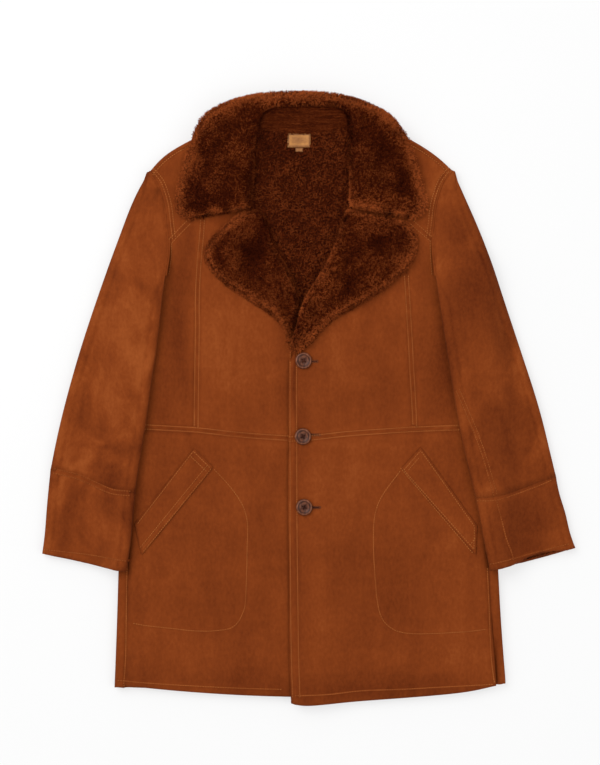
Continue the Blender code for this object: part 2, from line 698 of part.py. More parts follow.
def add_back(collection):
    """The back yoke and the back body, which wrap a little to the front."""
    heights = []
    for side in (-1, 1):
        hole = side_curve(ARMHOLE, side)
        keep = hole.points[hole.points[:, 1] >= BACK_YOKE_UP]
        place = np.interp(BACK_YOKE_UP, hole.points[::-1, 1], hole.points[::-1, 0])
        heights.append(Curve(np.vstack([[place, BACK_YOKE_UP], keep[::-1]]), smooth=False))
    right_rise, left_rise = heights

    # the yoke's upper edge: right shoulder, neck seam, left shoulder
    right_top = side_curve(SHOULDER, -1)
    left_top = reversed_curve(side_curve(SHOULDER, 1))
    upper = Curve(np.vstack([right_top.points, NECK_SEAM, left_top.points]), smooth=False)
    base = Curve([right_rise.points[0], left_rise.points[0]])

    def yoke_columns(width):
        near = [SHOULDER_WRAP + 0.3, SHOULDER_WRAP, SHOULDER_WRAP * 0.4, 0.0]
        inner = [0.0, 0.18, 0.36, 0.52, 0.68, 0.84]
        last = 1.0 - (SHOULDER_WRAP + 6.0) / width
        return [last * step for step in inner] + [last] + [1.0 - d / width for d in near]

    rows = even(18)
    plan = lofted_plan(base, upper, right_rise, left_rise,
                       rows, yoke_columns)
    plan = inset_plan(plan, "lbt")
    x, y = plan[..., 0], plan[..., 1]
    bottom, top = back_bottom(x, y), back_top(x, y)
    columns = np.ones_like(x) * np.arange(x.shape[1])[None, :]
    rim = (columns >= x.shape[1] - 3) & (np.abs(x) > 104.0)
    rim_top = front_base(x, y) + WALL
    top = np.where(rim, rim_top, top)
    bottom, top = round_rim(plan, bottom, top, "r", rim)
    add_object("back_yoke", wall_mesh("back_yoke", plan, bottom, top), SUEDE, collection)

    # the body: rows from the hem up to the yoke seam
    edges = []
    for side in (-1, 1):
        low = side_curve(SIDE_EDGE, side)
        hidden = reversed_curve(side_curve(HIDDEN_ARMHOLE, side))
        armhole_low = reversed_curve(side_curve(ARMHOLE_LOW, side))
        hole = side_curve(ARMHOLE, side)
        keep = hole.points[hole.points[:, 1] <= BACK_YOKE_UP][::-1]
        place = np.interp(BACK_YOKE_UP, hole.points[::-1, 1], hole.points[::-1, 0])
        rise = np.vstack([keep, [place, BACK_YOKE_UP]])
        edges.append((low.points[::-1], hidden.points, armhole_low.points, rise))
    row_heights = [-448, -445.5, -440, -420, -350, -280, -210, -140, -70, 0, 60, 110, 146,
                   157.9, 164, 172, 182, 192, 218, 243, 269, 294]
    lefts, rights = [], []
    for (low, hidden, armhole_low, rise), bucket in zip(edges, (lefts, rights)):
        outline = np.vstack([low, hidden[1:], armhole_low[1:], rise[1:]])
        outline = outline[np.argsort(outline[:, 1], kind="stable")]
        for height in row_heights:
            bucket.append((np.interp(height, outline[:, 1], outline[:, 0]), height))
    hem = Curve(HEM_BACK)
    plan = []
    for index in range(len(row_heights)):
        start, end = np.array(lefts[index]), np.array(rights[index])
        width = end[0] - start[0]
        near = [0.0, 2.5, 8.0, SIDE_WRAP - 0.45, SIDE_WRAP - 0.15]
        last = SIDE_WRAP + 10.0
        inner = [last + (width - 2 * last) * step for step in even(9)]
        places = np.array(near + inner + [width - d for d in reversed(near)])
        line = start + np.outer(places / width, end - start)
        bow = hem.at(places / width)
        share = max(0.0, 1.0 - (row_heights[index] + 448.0) / 120.0)
        line[:, 1] += share * (bow[:, 1] + 448.0)
        plan.append(line)
    plan = inset_plan(np.array(plan), "t")
    upper_rows = np.array(row_heights) > UNDERARM_UP
    plan[upper_rows, 0] += (SEAM_GAP / 2, 0.0)
    plan[upper_rows, -1] -= (SEAM_GAP / 2, 0.0)
    x, y = plan[..., 0], plan[..., 1]
    bottom, top = back_bottom(x, y), back_top(x, y)
    lower = (np.array(row_heights) < UNDERARM_UP - 2.0)[:, None]
    for border in "lr":
        rim = (border_distance(plan, border) < SIDE_WRAP - 0.4) & lower
        top = np.where(rim, front_base(x, y) + WALL, top)
        bottom, top = round_rim(plan, bottom, top, border, rim)
    bottom, top = rounded(plan, bottom, top, "b", 3.0)
    add_object("back_body", wall_mesh("back_body", plan, bottom, top), SUEDE, collection)


def round_rim(plan, bottom, top, side, rim):
    """Rounds the fold where a piece goes round the coat's edge."""
    radius = WALL + LAYER_GAP / 2
    drop = rounding(border_distance(plan, side) + 0.4, radius)
    drop = np.where(rim, np.minimum(drop, 0.45 * (top - bottom)), 0.0)
    return bottom + drop, top - drop


# ---------------------------------------------------------------- sleeves

def sleeve_columns(width):
    """Fractions across a sleeve: close at its folded edges, even between."""
    scale = min(1.0, width / (3.6 * SLEEVE_WRAP))
    near = [0.0, 2.2, 7.5, SLEEVE_WRAP - 0.45, SLEEVE_WRAP - 0.15]
    near = [distance * scale for distance in near]
    last = (SLEEVE_WRAP + 5.0) * scale
    inner = [last + (width - 2 * last) * step for step in even(4)]
    places = near + inner + [width - distance for distance in reversed(near)]
    return [place / width for place in places]


def under_columns(width):
    """The same for the layer below, inside the folded edges."""
    fractions = sleeve_columns(width)
    return fractions[4:-4]


def sleeve_rows(inner_parts):
    """Row fractions that keep the points shared with the armhole's panels."""
    total = sum(curve.length for curve in inner_parts)
    rows = [0.012]
    reached = 0.0
    counts = (4, 2, 8)
    for curve, count in zip(inner_parts, counts):
        for step in even(count)[1:]:
            rows.append((reached + step * curve.length) / total)
        reached += curve.length
    return rows


def add_sleeve(side, collection):
    """A sleeve and its cuff section, each of two layers that lie on each other."""
    word = "right" if side < 0 else "left"
    parts = [side_curve(ARMHOLE, side), side_curve(ARMHOLE_LOW, side),
             side_curve(SLEEVE_INNER, side)]
    inner = joined(*parts)
    outer = side_curve(SLEEVE_OUTER, side)
    elbow = side_curve(ELBOW, side)
    rows = sleeve_rows(parts)
    closed_from = len(rows) - 7
    add_layers(f"sleeve_{word}", side, (inner, outer, None, elbow), rows, closed_from,
               "lt", collection)
    cuff_inner = side_curve(CUFF_INNER, side)
    cuff_outer = side_curve(CUFF_OUTER, side)
    hem = side_curve(CUFF_HEM, side)
    rows = [0.0, 0.25, 0.5, 0.75, 0.93, 0.985, 1.0]
    add_layers(f"cuff_{word}", side, (cuff_inner, cuff_outer, elbow, hem), rows, 0,
               "b", collection)


def add_layers(name, side, outline, rows, closed_from, seams, collection):
    """The top and under layer of a flattened sleeve.

    The top layer goes round the sleeve's folded edges down to what it lies on, and
    the under layer lies inside it. Rows before closed_from are open at the armhole.
    """
    inner, outer, first, last = outline
    is_cuff = first is not None
    plan = lofted_plan(inner, outer, first, last, rows, sleeve_columns)
    plan = inset_plan(plan, seams)
    x, y = plan[..., 0], plan[..., 1]
    base = sleeve_base(x, y, side)
    top = base + 2 * WALL + LAYER_GAP + fold_height(x, y)
    bottom = base + WALL + LAYER_GAP
    counts = np.arange(len(rows))[:, None] * np.ones_like(x)
    columns = np.ones_like(x) * np.arange(x.shape[1])[None, :]
    outer_rim = columns >= x.shape[1] - 4
    inner_rim = (columns <= 3) & (counts >= closed_from)
    for rim, border in ((outer_rim, "r"), (inner_rim, "l")):
        bottom = np.where(rim, base, bottom)
        bottom, top = round_rim(plan, bottom, top, border, rim)
    if is_cuff:
        bottom, top = rounded(plan, bottom, top, "t", 3.0)
    add_object(f"{name}_top", wall_mesh(f"{name}_top", plan, bottom, top), SUEDE, collection)

    plan = lofted_plan(inner, outer, first, last, rows, under_columns)
    if not is_cuff:
        open_rows = slice(0, closed_from - 1)
        attached = lofted_plan(inner, outer, first, last, rows, sleeve_columns)
        plan[open_rows, 0] = attached[open_rows, 0]
    shrink = 0.5
    toward = plan[:, 1] - plan[:, 0]
    toward /= np.linalg.norm(toward, axis=1, keepdims=True)
    plan[:, 0] += toward * shrink
    toward = plan[:, -2] - plan[:, -1]
    toward /= np.linalg.norm(toward, axis=1, keepdims=True)
    plan[:, -1] += toward * shrink
    plan = inset_plan(plan, seams.replace("l", ""))
    x, y = plan[..., 0], plan[..., 1]
    base = sleeve_base(x, y, side)
    bottom, top = base, base + WALL
    if is_cuff:
        bottom, top = rounded(plan, bottom, top, "t", 3.0)
    add_object(f"{name}_under", wall_mesh(f"{name}_under", plan, bottom, top), SUEDE,
               collection)


# ---------------------------------------------------------------- collar and lapels

def add_lapel(side, collection):
    """A lapel turned back on its front, wool side out, with a rolled fold."""
    word = "right" if side < 0 else "left"
    table = LAPEL_RIGHT if side < 0 else LAPEL_LEFT
    front_top = right_front_top if side < 0 else left_front_top
    roll = Curve([(row.roll_x, row.roll_y) for row in table])
    edge = Curve([(row.edge_x, row.edge_y) for row in table])
    # rows follow the table, so that roll and edge points stay paired
    roll_steps = table_fractions(roll, [(row.roll_x, row.roll_y) for row in table])
    edge_steps = table_fractions(edge, [(row.edge_x, row.edge_y) for row in table])
    places = np.linspace(0, len(table) - 1, 16)
    index = np.arange(len(table))
    starts = roll.at(np.interp(places, index, roll_steps))
    ends = edge.at(np.interp(places, index, edge_steps))
    plan = []
    for start, end in zip(starts, ends):
        width = np.linalg.norm(end - start)
        foot = min(FOLD_FOOT, 0.42 * width)
        tail = min(7.0, 0.2 * width)
        near = [0.0, 0.12 * foot, 0.45 * foot, foot - 0.3, foot]
        inner = [foot + (width - foot - tail) * step for step in (0.2, 0.45, 0.72, 1.0)]
        places_across = np.array(near + inner + [width - 0.35 * tail, width - 0.08 * tail, width])
        plan.append(start + np.outer(places_across / width, end - start))
    plan = np.array(plan)
    x, y = plan[..., 0], plan[..., 1]
    crossing = smoothstep((200.0 - y) / 20.0)
    rest = front_top(x, y) + LAYER_GAP + LAYER_GAP * crossing
    from_roll = border_distance(plan, "l")
    from_edge = border_distance(plan, "r")
    foot_part = np.zeros_like(x)
    foot_part[:, :4] = 1.0
    foot_part[y < (FOOT_END_RIGHT if side < 0 else FOOT_END_LEFT)] = 0.0
    hidden = lookup(HIDDEN_RIGHT_EDGE, y)
    beneath = front_base(x, y) + HIDDEN_WALL + LAYER_GAP + 0.2
    floor = np.where((side > 0) & (x < hidden + 9.0), beneath, back_top(x, y) + 0.9)
    bottom = np.where(foot_part > 0.5, floor, rest)
    fur = FUR + 2.0 * smoothstep(1.0 - from_roll / 40.0)
    fade = np.clip((from_roll + from_edge) / 30.0, 0.35, 1.0)
    top = rest + fur * fade
    top = top - np.minimum(rounding(from_roll + 0.3, 9.0), 0.55 * (top - rest))
    top = top - np.minimum(rounding(from_edge + 0.2, 6.0), 0.6 * (top - rest))
    for border in "bt":
        reach = border_distance(plan, border)
        top = top - np.minimum(rounding(reach + 0.2, 5.0), 0.5 * np.maximum(top - rest, 0.0))
    top = np.maximum(top, rest + 1.5)
    add_object(f"lapel_{word}", wall_mesh(f"lapel_{word}", plan, bottom, top), WOOL, collection)


def table_fractions(curve, points):
    """The fractions of a curve at the points it was made through."""
    result = []
    for point in points:
        offsets = np.linalg.norm(curve.points - np.array(point, dtype=float), axis=1)
        result.append(curve.lengths[int(np.argmin(offsets))] / curve.length)
    return np.array(result)


def shoulder_line(x):
    """The height of the coat's upper outline at a place across it."""
    points = sorted([(-row.right_out, row.right_up) for row in SHOULDER]
                    + [(row.left_out, row.left_up) for row in SHOULDER] + NECK_SEAM)
    return lookup(points, x)


def collar_section(row, between):
    """One closed section of the collar, as points in the coat's space.

    The first points go up the stand and over the crest to the leaf's outer edge, the
    others come back beneath: over the front, or as the leaf tucked under the back.
    A section between one of each kind is told so.
    """
    inner = np.array([row.roll_x, row.roll_y], dtype=float)
    outer = np.array([row.edge_x, row.edge_y], dtype=float)
    width = np.linalg.norm(outer - inner)
    outward = (outer - inner) / width
    foot = min(12.0, 0.3 * width)
    hidden = inner + outward * (width - 8.6)
    if row.tuck_x is not None:
        hidden = np.array([row.tuck_x, row.tuck_y], dtype=float)

    def rest_at(distance):
        x, y = inner + outward * distance
        front_top = right_front_top if x < 0 else left_front_top
        return float(front_top(x, y)) + 2 * LAYER_GAP

    # the leaf leaves the coat's outline at the slot, and lies on the front before it
    neck = float(max(back_top(*inner), back_top(*(inner + outward * foot)))) + 1.5
    covered = []
    for distance in np.arange(foot, width - 10.0, 2.0):
        x, y = inner + outward * distance
        if y < shoulder_line(x) + 4.5:
            covered.append(distance)
    slot = foot + 2.5
    shelf = neck + 0.3
    if covered:
        slot = max(slot, covered[-1] + 1.5)
        shelf = max(rest_at(distance) for distance in covered)
    lie = 1.0 if row.tuck_x is None or (between and slot > width - 14.0) else 0.0
    low = lie * max(rest_at(width - reach) for reach in (4.0, 10.0, 20.0))
    leaf = max(row.leaf, low + LEAF_WALL + 4.0)
    crest = max(row.crest, shelf + 14.0, leaf + 4.0)
    leaf_top = low + (LEAF_WALL - 0.8) * (1.0 - lie)
    upper = [
        (0.4, neck),
        (0.0, neck + 0.35 * (crest - neck)),
        (0.8, neck + 0.7 * (crest - neck)),
        (0.06 * width + 2.0, crest - 2.4),
        (0.13 * width + 6.0, crest),
        (0.38 * width + 3.0, 0.55 * crest + 0.45 * leaf),
        (0.62 * width, leaf),
        (width - 9.0, leaf - 2.0),
        (width - 3.4, leaf - 6.5),
        (width, 0.5 * (leaf + low) - 1.0),
        (width - 2.6, low + 3.0 * (2.0 - lie)),
        (width - 7.0, low + 0.2),
    ]
    points = [(*(inner + outward * distance), height) for distance, height in upper]
    points.append((*hidden, low))
    inwards = (inner - hidden) / np.linalg.norm(inner - hidden)
    points.append((*(hidden + inwards * 0.5), 0.5 * (low + leaf_top) + 0.03))
    tip = hidden + inwards * lie + (outer - hidden) * 0.06 * (1.0 - lie)
    points.append((*tip, leaf_top + 0.06 * lie))
    beneath = [
        (slot, leaf_top + 0.1 * lie),
        (slot - 1.2, shelf),
        (foot + 0.5, shelf),
        (foot, neck),
    ]
    points += [(*(inner + outward * distance), height) for distance, height in beneath]
    return [((x + CENTRE_SHIFT) * MM, y * MM, height * MM) for x, y, height in points]


def hidden_edge(row):
    """Where the leaf's hidden edge is; on the front it is just inside the outer edge."""
    if row.tuck_x is not None:
        return row.tuck_x, row.tuck_y
    inner = np.array([row.roll_x, row.roll_y], dtype=float)
    outer = np.array([row.edge_x, row.edge_y], dtype=float)
    return tuple(outer + (inner - outer) / np.linalg.norm(outer - inner) * 8.6)


def add_collar(collection):
    """The collar: a closed loft of folded sections round the neck."""
    roll_points = [(row.roll_x, row.roll_y) for row in COLLAR]
    edge_points = [(row.edge_x, row.edge_y) for row in COLLAR]
    roll = Curve(roll_points)
    edge = Curve(edge_points)
    roll_steps = table_fractions(roll, roll_points)
    edge_steps = table_fractions(edge, edge_points)
    index = np.arange(len(COLLAR))
    others = np.array([(row.crest, row.leaf, *hidden_edge(row)) for row in COLLAR])
    sections = []
    for place in np.linspace(0, len(COLLAR) - 1, 2 * len(COLLAR) - 1):
        start = roll.at(np.interp(place, index, roll_steps))
        end = edge.at(np.interp(place, index, edge_steps))
        rest = [float(np.interp(place, index, others[:, column])) for column in range(4)]
        nearby = (COLLAR[math.floor(place)], COLLAR[math.ceil(place)])
        lying = [row.tuck_x is None for row in nearby]
        if all(lying):
            rest[2] = None
        sections.append(collar_section(CollarRow(*start, *end, *rest), any(lying)))
    loft = bmesh.new()
    rings = [[loft.verts.new(point) for point in section] for section in sections]
    count = len(rings[0])
    for ring, following in zip(rings, rings[1:]):
        for corner in range(count):
            after = (corner + 1) % count
            loft.faces.new([ring[corner], ring[after], following[after], following[corner]])
    loft.faces.new(rings[0])
    loft.faces.new(rings[-1])
    face_outwards(loft)
    mesh = bpy.data.meshes.new("collar")
    loft.to_mesh(mesh)
    loft.free()
    add_object("collar", mesh, WOOL, collection)


def add_neck_band(collection):
    """The collar's stand inside the back neck, sloping up to the roll."""
    rows = [0.0, 0.06, 0.35, 0.65, 1.0]
    left = Curve([(-66, 421.5), (-63, 431), (-56, 440.5)])
    right = Curve([(66, 421.5), (63, 431), (56, 440.5)])
    lower = Curve([(-66, 421.5), (-40, 416.4), (0, 413.2), (40, 416.4), (66, 421.5)])
    upper = Curve([(-56, 440.5), (-44, 446.5), (-22, 448.2), (0, 448.3), (22, 448.2),
                   (44, 447.0), (56, 440.5)])
    plan = lofted_plan(left, right, lower, upper, rows, even(10))
    x, y = plan[..., 0], plan[..., 1]
    rise = smoothstep((y - 412.0) / 42.0)
    bottom = back_bottom(x, y) + 0.2 + 2.0 * rise
    top = back_top(x, y) + 1.2 + 9.0 * rise
    add_object("neck_band", wall_mesh("neck_band", plan, bottom, top), WOOL, collection)


# ---------------------------------------------------------------- small pieces

def add_welt(side, collection):
    """A pocket welt, laid on its skirt along the slanted pocket mouth."""
    word = "right" if side < 0 else "left"
    corners = WELT_RIGHT if side < 0 else WELT_LEFT
    top_height = right_front_top if side < 0 else left_front_top
    first = Curve([corners[0], corners[1]])
    second = Curve([corners[3], corners[2]])
    rows = [0.0, 0.02] + [0.02 + 0.96 * step for step in even(8)[1:]] + [1.0]
    columns = [0.0, 0.06, 0.36, 0.66, 0.94, 1.0]
    plan = lofted_plan(first, second, None, None, rows, columns)
    x, y = plan[..., 0], plan[..., 1]
    bottom = top_height(x, y) + LAYER_GAP * 0.6
    top = bottom + WELT_WALL
    bottom, top = rounded(plan, bottom, top, "lrbt", 1.6)
    name = f"pocket_welt_{word}"
    add_object(name, wall_mesh(name, plan, np.minimum(bottom, top - 1.0), top), SUEDE,
               collection)


def add_button(name, x, y, collection):
    """A turned horn button with a raised rim, a dished middle and four holes."""
    base = float(left_front_top(x, y)) + BUTTON_SEAT
    profile = [(0.0, 3.3), (6.2, 3.3), (8.4, 4.4), (10.6, 4.6), (12.1, 3.9),
               (BUTTON_RADIUS, 2.4), (11.6, 0.9), (8.0, 0.0), (0.0, 0.0)]
    outline = bmesh.new()
    verts = [outline.verts.new((radius * MM, 0.0, height * MM)) for radius, height in profile]
    for start, end in zip(verts, verts[1:]):
        outline.edges.new((start, end))
    mesh = bpy.data.meshes.new(name)
    outline.to_mesh(mesh)
    outline.free()
    button = add_object(name, mesh, HORN, collection)
    button.location = ((x + CENTRE_SHIFT) * MM, y * MM, base * MM)
    screw = button.modifiers.new("turn", "SCREW")
    screw.steps = 20
    screw.render_steps = 20
    screw.use_merge_vertices = True
    screw.merge_threshold = 0.00001
    screw.use_normal_calculate = True
    for index in range(4):
        angle = math.radians(45.0 + 90.0 * index)
        bpy.ops.mesh.primitive_cylinder_add(vertices=6, radius=1.1 * MM, depth=12.0 * MM)
        hole = bpy.context.object
        hole.name = f"{name}_hole_{index}"
        hole.location = (button.location.x + 3.1 * MM * math.cos(angle),
                         button.location.y + 3.1 * MM * math.sin(angle),
                         button.location.z + 2.0 * MM)
        hole.hide_render = True
        hole.display_type = "WIRE"
        for owner in list(hole.users_collection):
            owner.objects.unlink(hole)
        bpy.data.collections["cutters"].objects.link(hole)
        cut = button.modifiers.new(f"hole_{index}", "BOOLEAN")
        cut.operation = "DIFFERENCE"
        cut.object = hole


def add_label(name, centre, size, lift, collection):
    """A thin woven tag on the back's wool."""
    width, height = size
    left = centre[0] - width / 2
    right = centre[0] + width / 2
    low = centre[1] - height / 2
    high = centre[1] + height / 2
    plan = lofted_plan(Curve([(left, low), (left, high)]), Curve([(right, low), (right, high)]),
                       None, None, even(3), even(4))
    x, y = plan[..., 0], plan[..., 1]
    bottom = back_top(x, y) + lift
    add_object(name, wall_mesh(name, plan, bottom, bottom + LABEL_WALL), WOVEN, collection)


def main():
    for thing in list(bpy.data.objects):
        bpy.data.objects.remove(thing, do_unlink=True)
    coat = bpy.data.collections.new(COAT_NAME)
    cutters = bpy.data.collections.new("cutters")
    bpy.context.scene.collection.children.link(coat)
    bpy.context.scene.collection.children.link(cutters)
    add_back(coat)
    for side in (-1, 1):
        add_front(side, coat)
        add_sleeve(side, coat)
        add_lapel(side, coat)
        add_welt(side, coat)
    add_collar(coat)
    add_neck_band(coat)
    for name, x, y in BUTTONS:
        add_button(name, x, y, coat)
    add_label("label", LABEL_CENTRE, LABEL_SIZE, 0.4, coat)
    add_label("size_tab", TAB_CENTRE, TAB_SIZE, 0.4, coat)


main()
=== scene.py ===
"""Looks of a shearling coat that lies flat: suede shells, wool pile, stitching, buttons.

Lengths in tables are millimetres. A place in plan is given from the button line and
from the middle of the coat's height, as in the solids; heights come from the solids.
"""
import logging
import math
from dataclasses import dataclass
from enum import Enum

import bmesh
import bpy
import numpy as np
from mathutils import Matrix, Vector, kdtree
from mathutils.bvhtree import BVHTree


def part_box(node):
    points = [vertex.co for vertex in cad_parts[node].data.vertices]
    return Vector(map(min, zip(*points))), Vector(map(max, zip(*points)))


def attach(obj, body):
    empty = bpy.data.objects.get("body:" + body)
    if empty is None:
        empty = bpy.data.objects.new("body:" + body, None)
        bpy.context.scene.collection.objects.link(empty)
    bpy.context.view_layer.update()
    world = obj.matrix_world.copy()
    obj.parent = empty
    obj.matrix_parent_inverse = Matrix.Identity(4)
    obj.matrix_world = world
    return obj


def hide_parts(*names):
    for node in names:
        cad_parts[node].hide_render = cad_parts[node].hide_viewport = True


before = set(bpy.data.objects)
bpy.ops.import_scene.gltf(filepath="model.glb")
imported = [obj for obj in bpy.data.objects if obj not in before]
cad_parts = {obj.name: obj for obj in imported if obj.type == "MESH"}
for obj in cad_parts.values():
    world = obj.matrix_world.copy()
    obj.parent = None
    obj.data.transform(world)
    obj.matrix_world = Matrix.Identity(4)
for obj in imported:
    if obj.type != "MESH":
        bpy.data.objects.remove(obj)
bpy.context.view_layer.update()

LOG = logging.getLogger("coat")
BODY = "root"
SIDES = ("right", "left")  # the wearer's
SEED = 41

MM = 0.001
LINE_X = -9.0              # the button line's x in the frame, in millimetres
FAR = 999.0                # millimetres; further than anything on the coat
TINY = 1e-9                # keeps a division by a length safe
DOWN = Vector((0.0, 0.0, -1.0))
UPWARD = 0.6               # a face whose normal's z is more than this looks up
WELD = 1e-5                # metres; joins the split corners of a solid's faces
SHARP = math.radians(52.0)     # a steeper edge of a solid stays crisp
MERGE_BEND = math.radians(35.0)    # triangles that bend less are joined to quads
MERGE_CORNER = math.radians(120.0)
CURVE_STEPS = 12.0         # points on a smooth line between two given ones
RIDGE_BEND = 0.0022        # a ridge's bend, in each millimetre
RIDGE_LONG = 40.0          # a longer ridge bends less

Array = np.ndarray
Random = np.random.Generator
Pair = tuple[float, float]
Triple = tuple[float, float, float]
Object = bpy.types.Object
Mesh = bpy.types.Mesh
Material = bpy.types.Material
Socket = bpy.types.NodeSocket


class Slot(Enum):
    """The record's material slots."""

    SUEDE = "suede"
    WOOL = "wool"
    HORN = "horn"
    WOVEN = "woven_label"


class Held(Enum):
    """How a cut piece lies in the finished coat."""

    LAID = "laid"
    FOLDED = "folded"


# ------------------------------------------------------------------ plan and noise

def plan_point(x: float, y: float) -> Pair:
    """Turns a table's place into metres in the frame."""
    return (x + LINE_X) * MM, y * MM


def smooth_line(points: list[Pair], step: float = 1.0) -> Array:
    """Runs a smooth line through a few points.

    Args:
        points: the points, in the tables' millimetres.
        step: distance between the returned points.

    Returns:
        Evenly spaced points, one row each.
    """
    given = np.array(points, dtype=float)
    if len(given) > 2:
        ends = np.vstack([2 * given[0] - given[1], given, 2 * given[-1] - given[-2]])
        run = []
        for before, start, end, after in zip(ends, ends[1:], ends[2:], ends[3:]):
            span = np.linalg.norm(end - start)
            slope_in = (end - before) * span / max(np.linalg.norm(end - before), TINY)
            slope_out = (after - start) * span / max(np.linalg.norm(after - start), TINY)
            for t in np.arange(0.0, 1.0, 1.0 / CURVE_STEPS):
                run.append((2 * t**3 - 3 * t**2 + 1) * start + (t**3 - 2 * t**2 + t) * slope_in
                           + (3 * t**2 - 2 * t**3) * end + (t**3 - t**2) * slope_out)
        given = np.vstack([run, given[-1]])
    lengths = np.concatenate([[0.0], np.cumsum(np.linalg.norm(np.diff(given, axis=0), axis=1))])
    places = np.linspace(0.0, lengths[-1], max(2, int(round(lengths[-1] / step)) + 1))
    return np.stack([np.interp(places, lengths, given[:, k]) for k in (0, 1)], axis=1)


def lattice_noise(points: Array, size: float, seed: int) -> Array:
    """Smooth random values in space.

    Args:
        points: places, one row each, in metres.
        size: distance between the lattice's random values, in metres.
        seed: picks the lattice.

    Returns:
        One value from -1 to 1 for each place.
    """
    scaled = points / size + 1000.0     # keeps the cells' numbers positive
    cell = np.floor(scaled).astype(np.int64)
    part = scaled - cell
    part = part * part * (3.0 - 2.0 * part)
    total = np.zeros(len(points))
    for corner in range(8):
        step = np.array([corner & 1, (corner >> 1) & 1, corner >> 2])
        at = cell + step
        # mixes the corner's three numbers into one that looks random
        code = at[:, 0] * 73856093 ^ at[:, 1] * 19349663 ^ at[:, 2] * 83492791 ^ seed * 2654435
        code = (code ^ (code >> 13)) * 1274126177 & 0x7FFFFFFF
        value = (code ^ (code >> 16)) % 65536 / 32767.5 - 1.0
        weight = np.prod(np.where(step == 1, part, 1.0 - part), axis=1)
        total += value * weight
    return total


def soft_step(value: Array) -> Array:
    """A soft step from 0 to 1."""
    part = np.clip(value, 0.0, 1.0)
    return part * part * (3.0 - 2.0 * part)


def bell(value: Array, middle: float, width: float) -> Array:
    """A soft bump, 1 at the middle and faded beyond the width."""
    return np.exp(-((value - middle) / width) ** 2)


@dataclass(frozen=True)
class Waves:
    """Smooth uneven waves, with their height in millimetres and their size in metres."""

    height: float
    size: float
    seed: int

    def at(self, points: Array) -> Array:
        """Their height at places in the frame."""
        return self.height * lattice_noise(points, self.size, SEED + self.seed)


@dataclass(frozen=True)
class Ridge:
    """A long soft bump in plan: a fold, a hollow, or a patch of tone.

    It lies about x and y, turned by its angle, and bends a little along its length.
    """

    x: float
    y: float
    angle: float
    length: float
    width: float
    amount: float

    def at(self, x: Array, y: Array) -> Array:
        """Its amount at places in the tables' millimetres.

        Args:
            x: how far each place lies to the wearer's left of the button line.
            y: how far up each place lies.

        Returns:
            Its amount at each place.
        """
        turn = math.radians(self.angle)
        along = (x - self.x) * math.cos(turn) + (y - self.y) * math.sin(turn)
        across = (y - self.y) * math.cos(turn) - (x - self.x) * math.sin(turn)
        bend = across + RIDGE_BEND * along * along / max(self.length / RIDGE_LONG, 1.0)
        return self.amount * np.exp(-(along / self.length) ** 2 - (bend / self.width) ** 2)


def ridges_at(ridges: tuple[Ridge, ...], points: Array) -> Array:
    """Adds up ridges at points in the frame.

    Args:
        ridges: the ridges.
        points: places in metres, one row each.

    Returns:
        The sum of the ridges' amounts at each place.
    """
    x = points[:, 0] / MM - LINE_X
    y = points[:, 1] / MM
    total = np.zeros(len(points))
    for ridge in ridges:
        total += ridge.at(x, y)
    return total


# ------------------------------------------------------------------ finishes

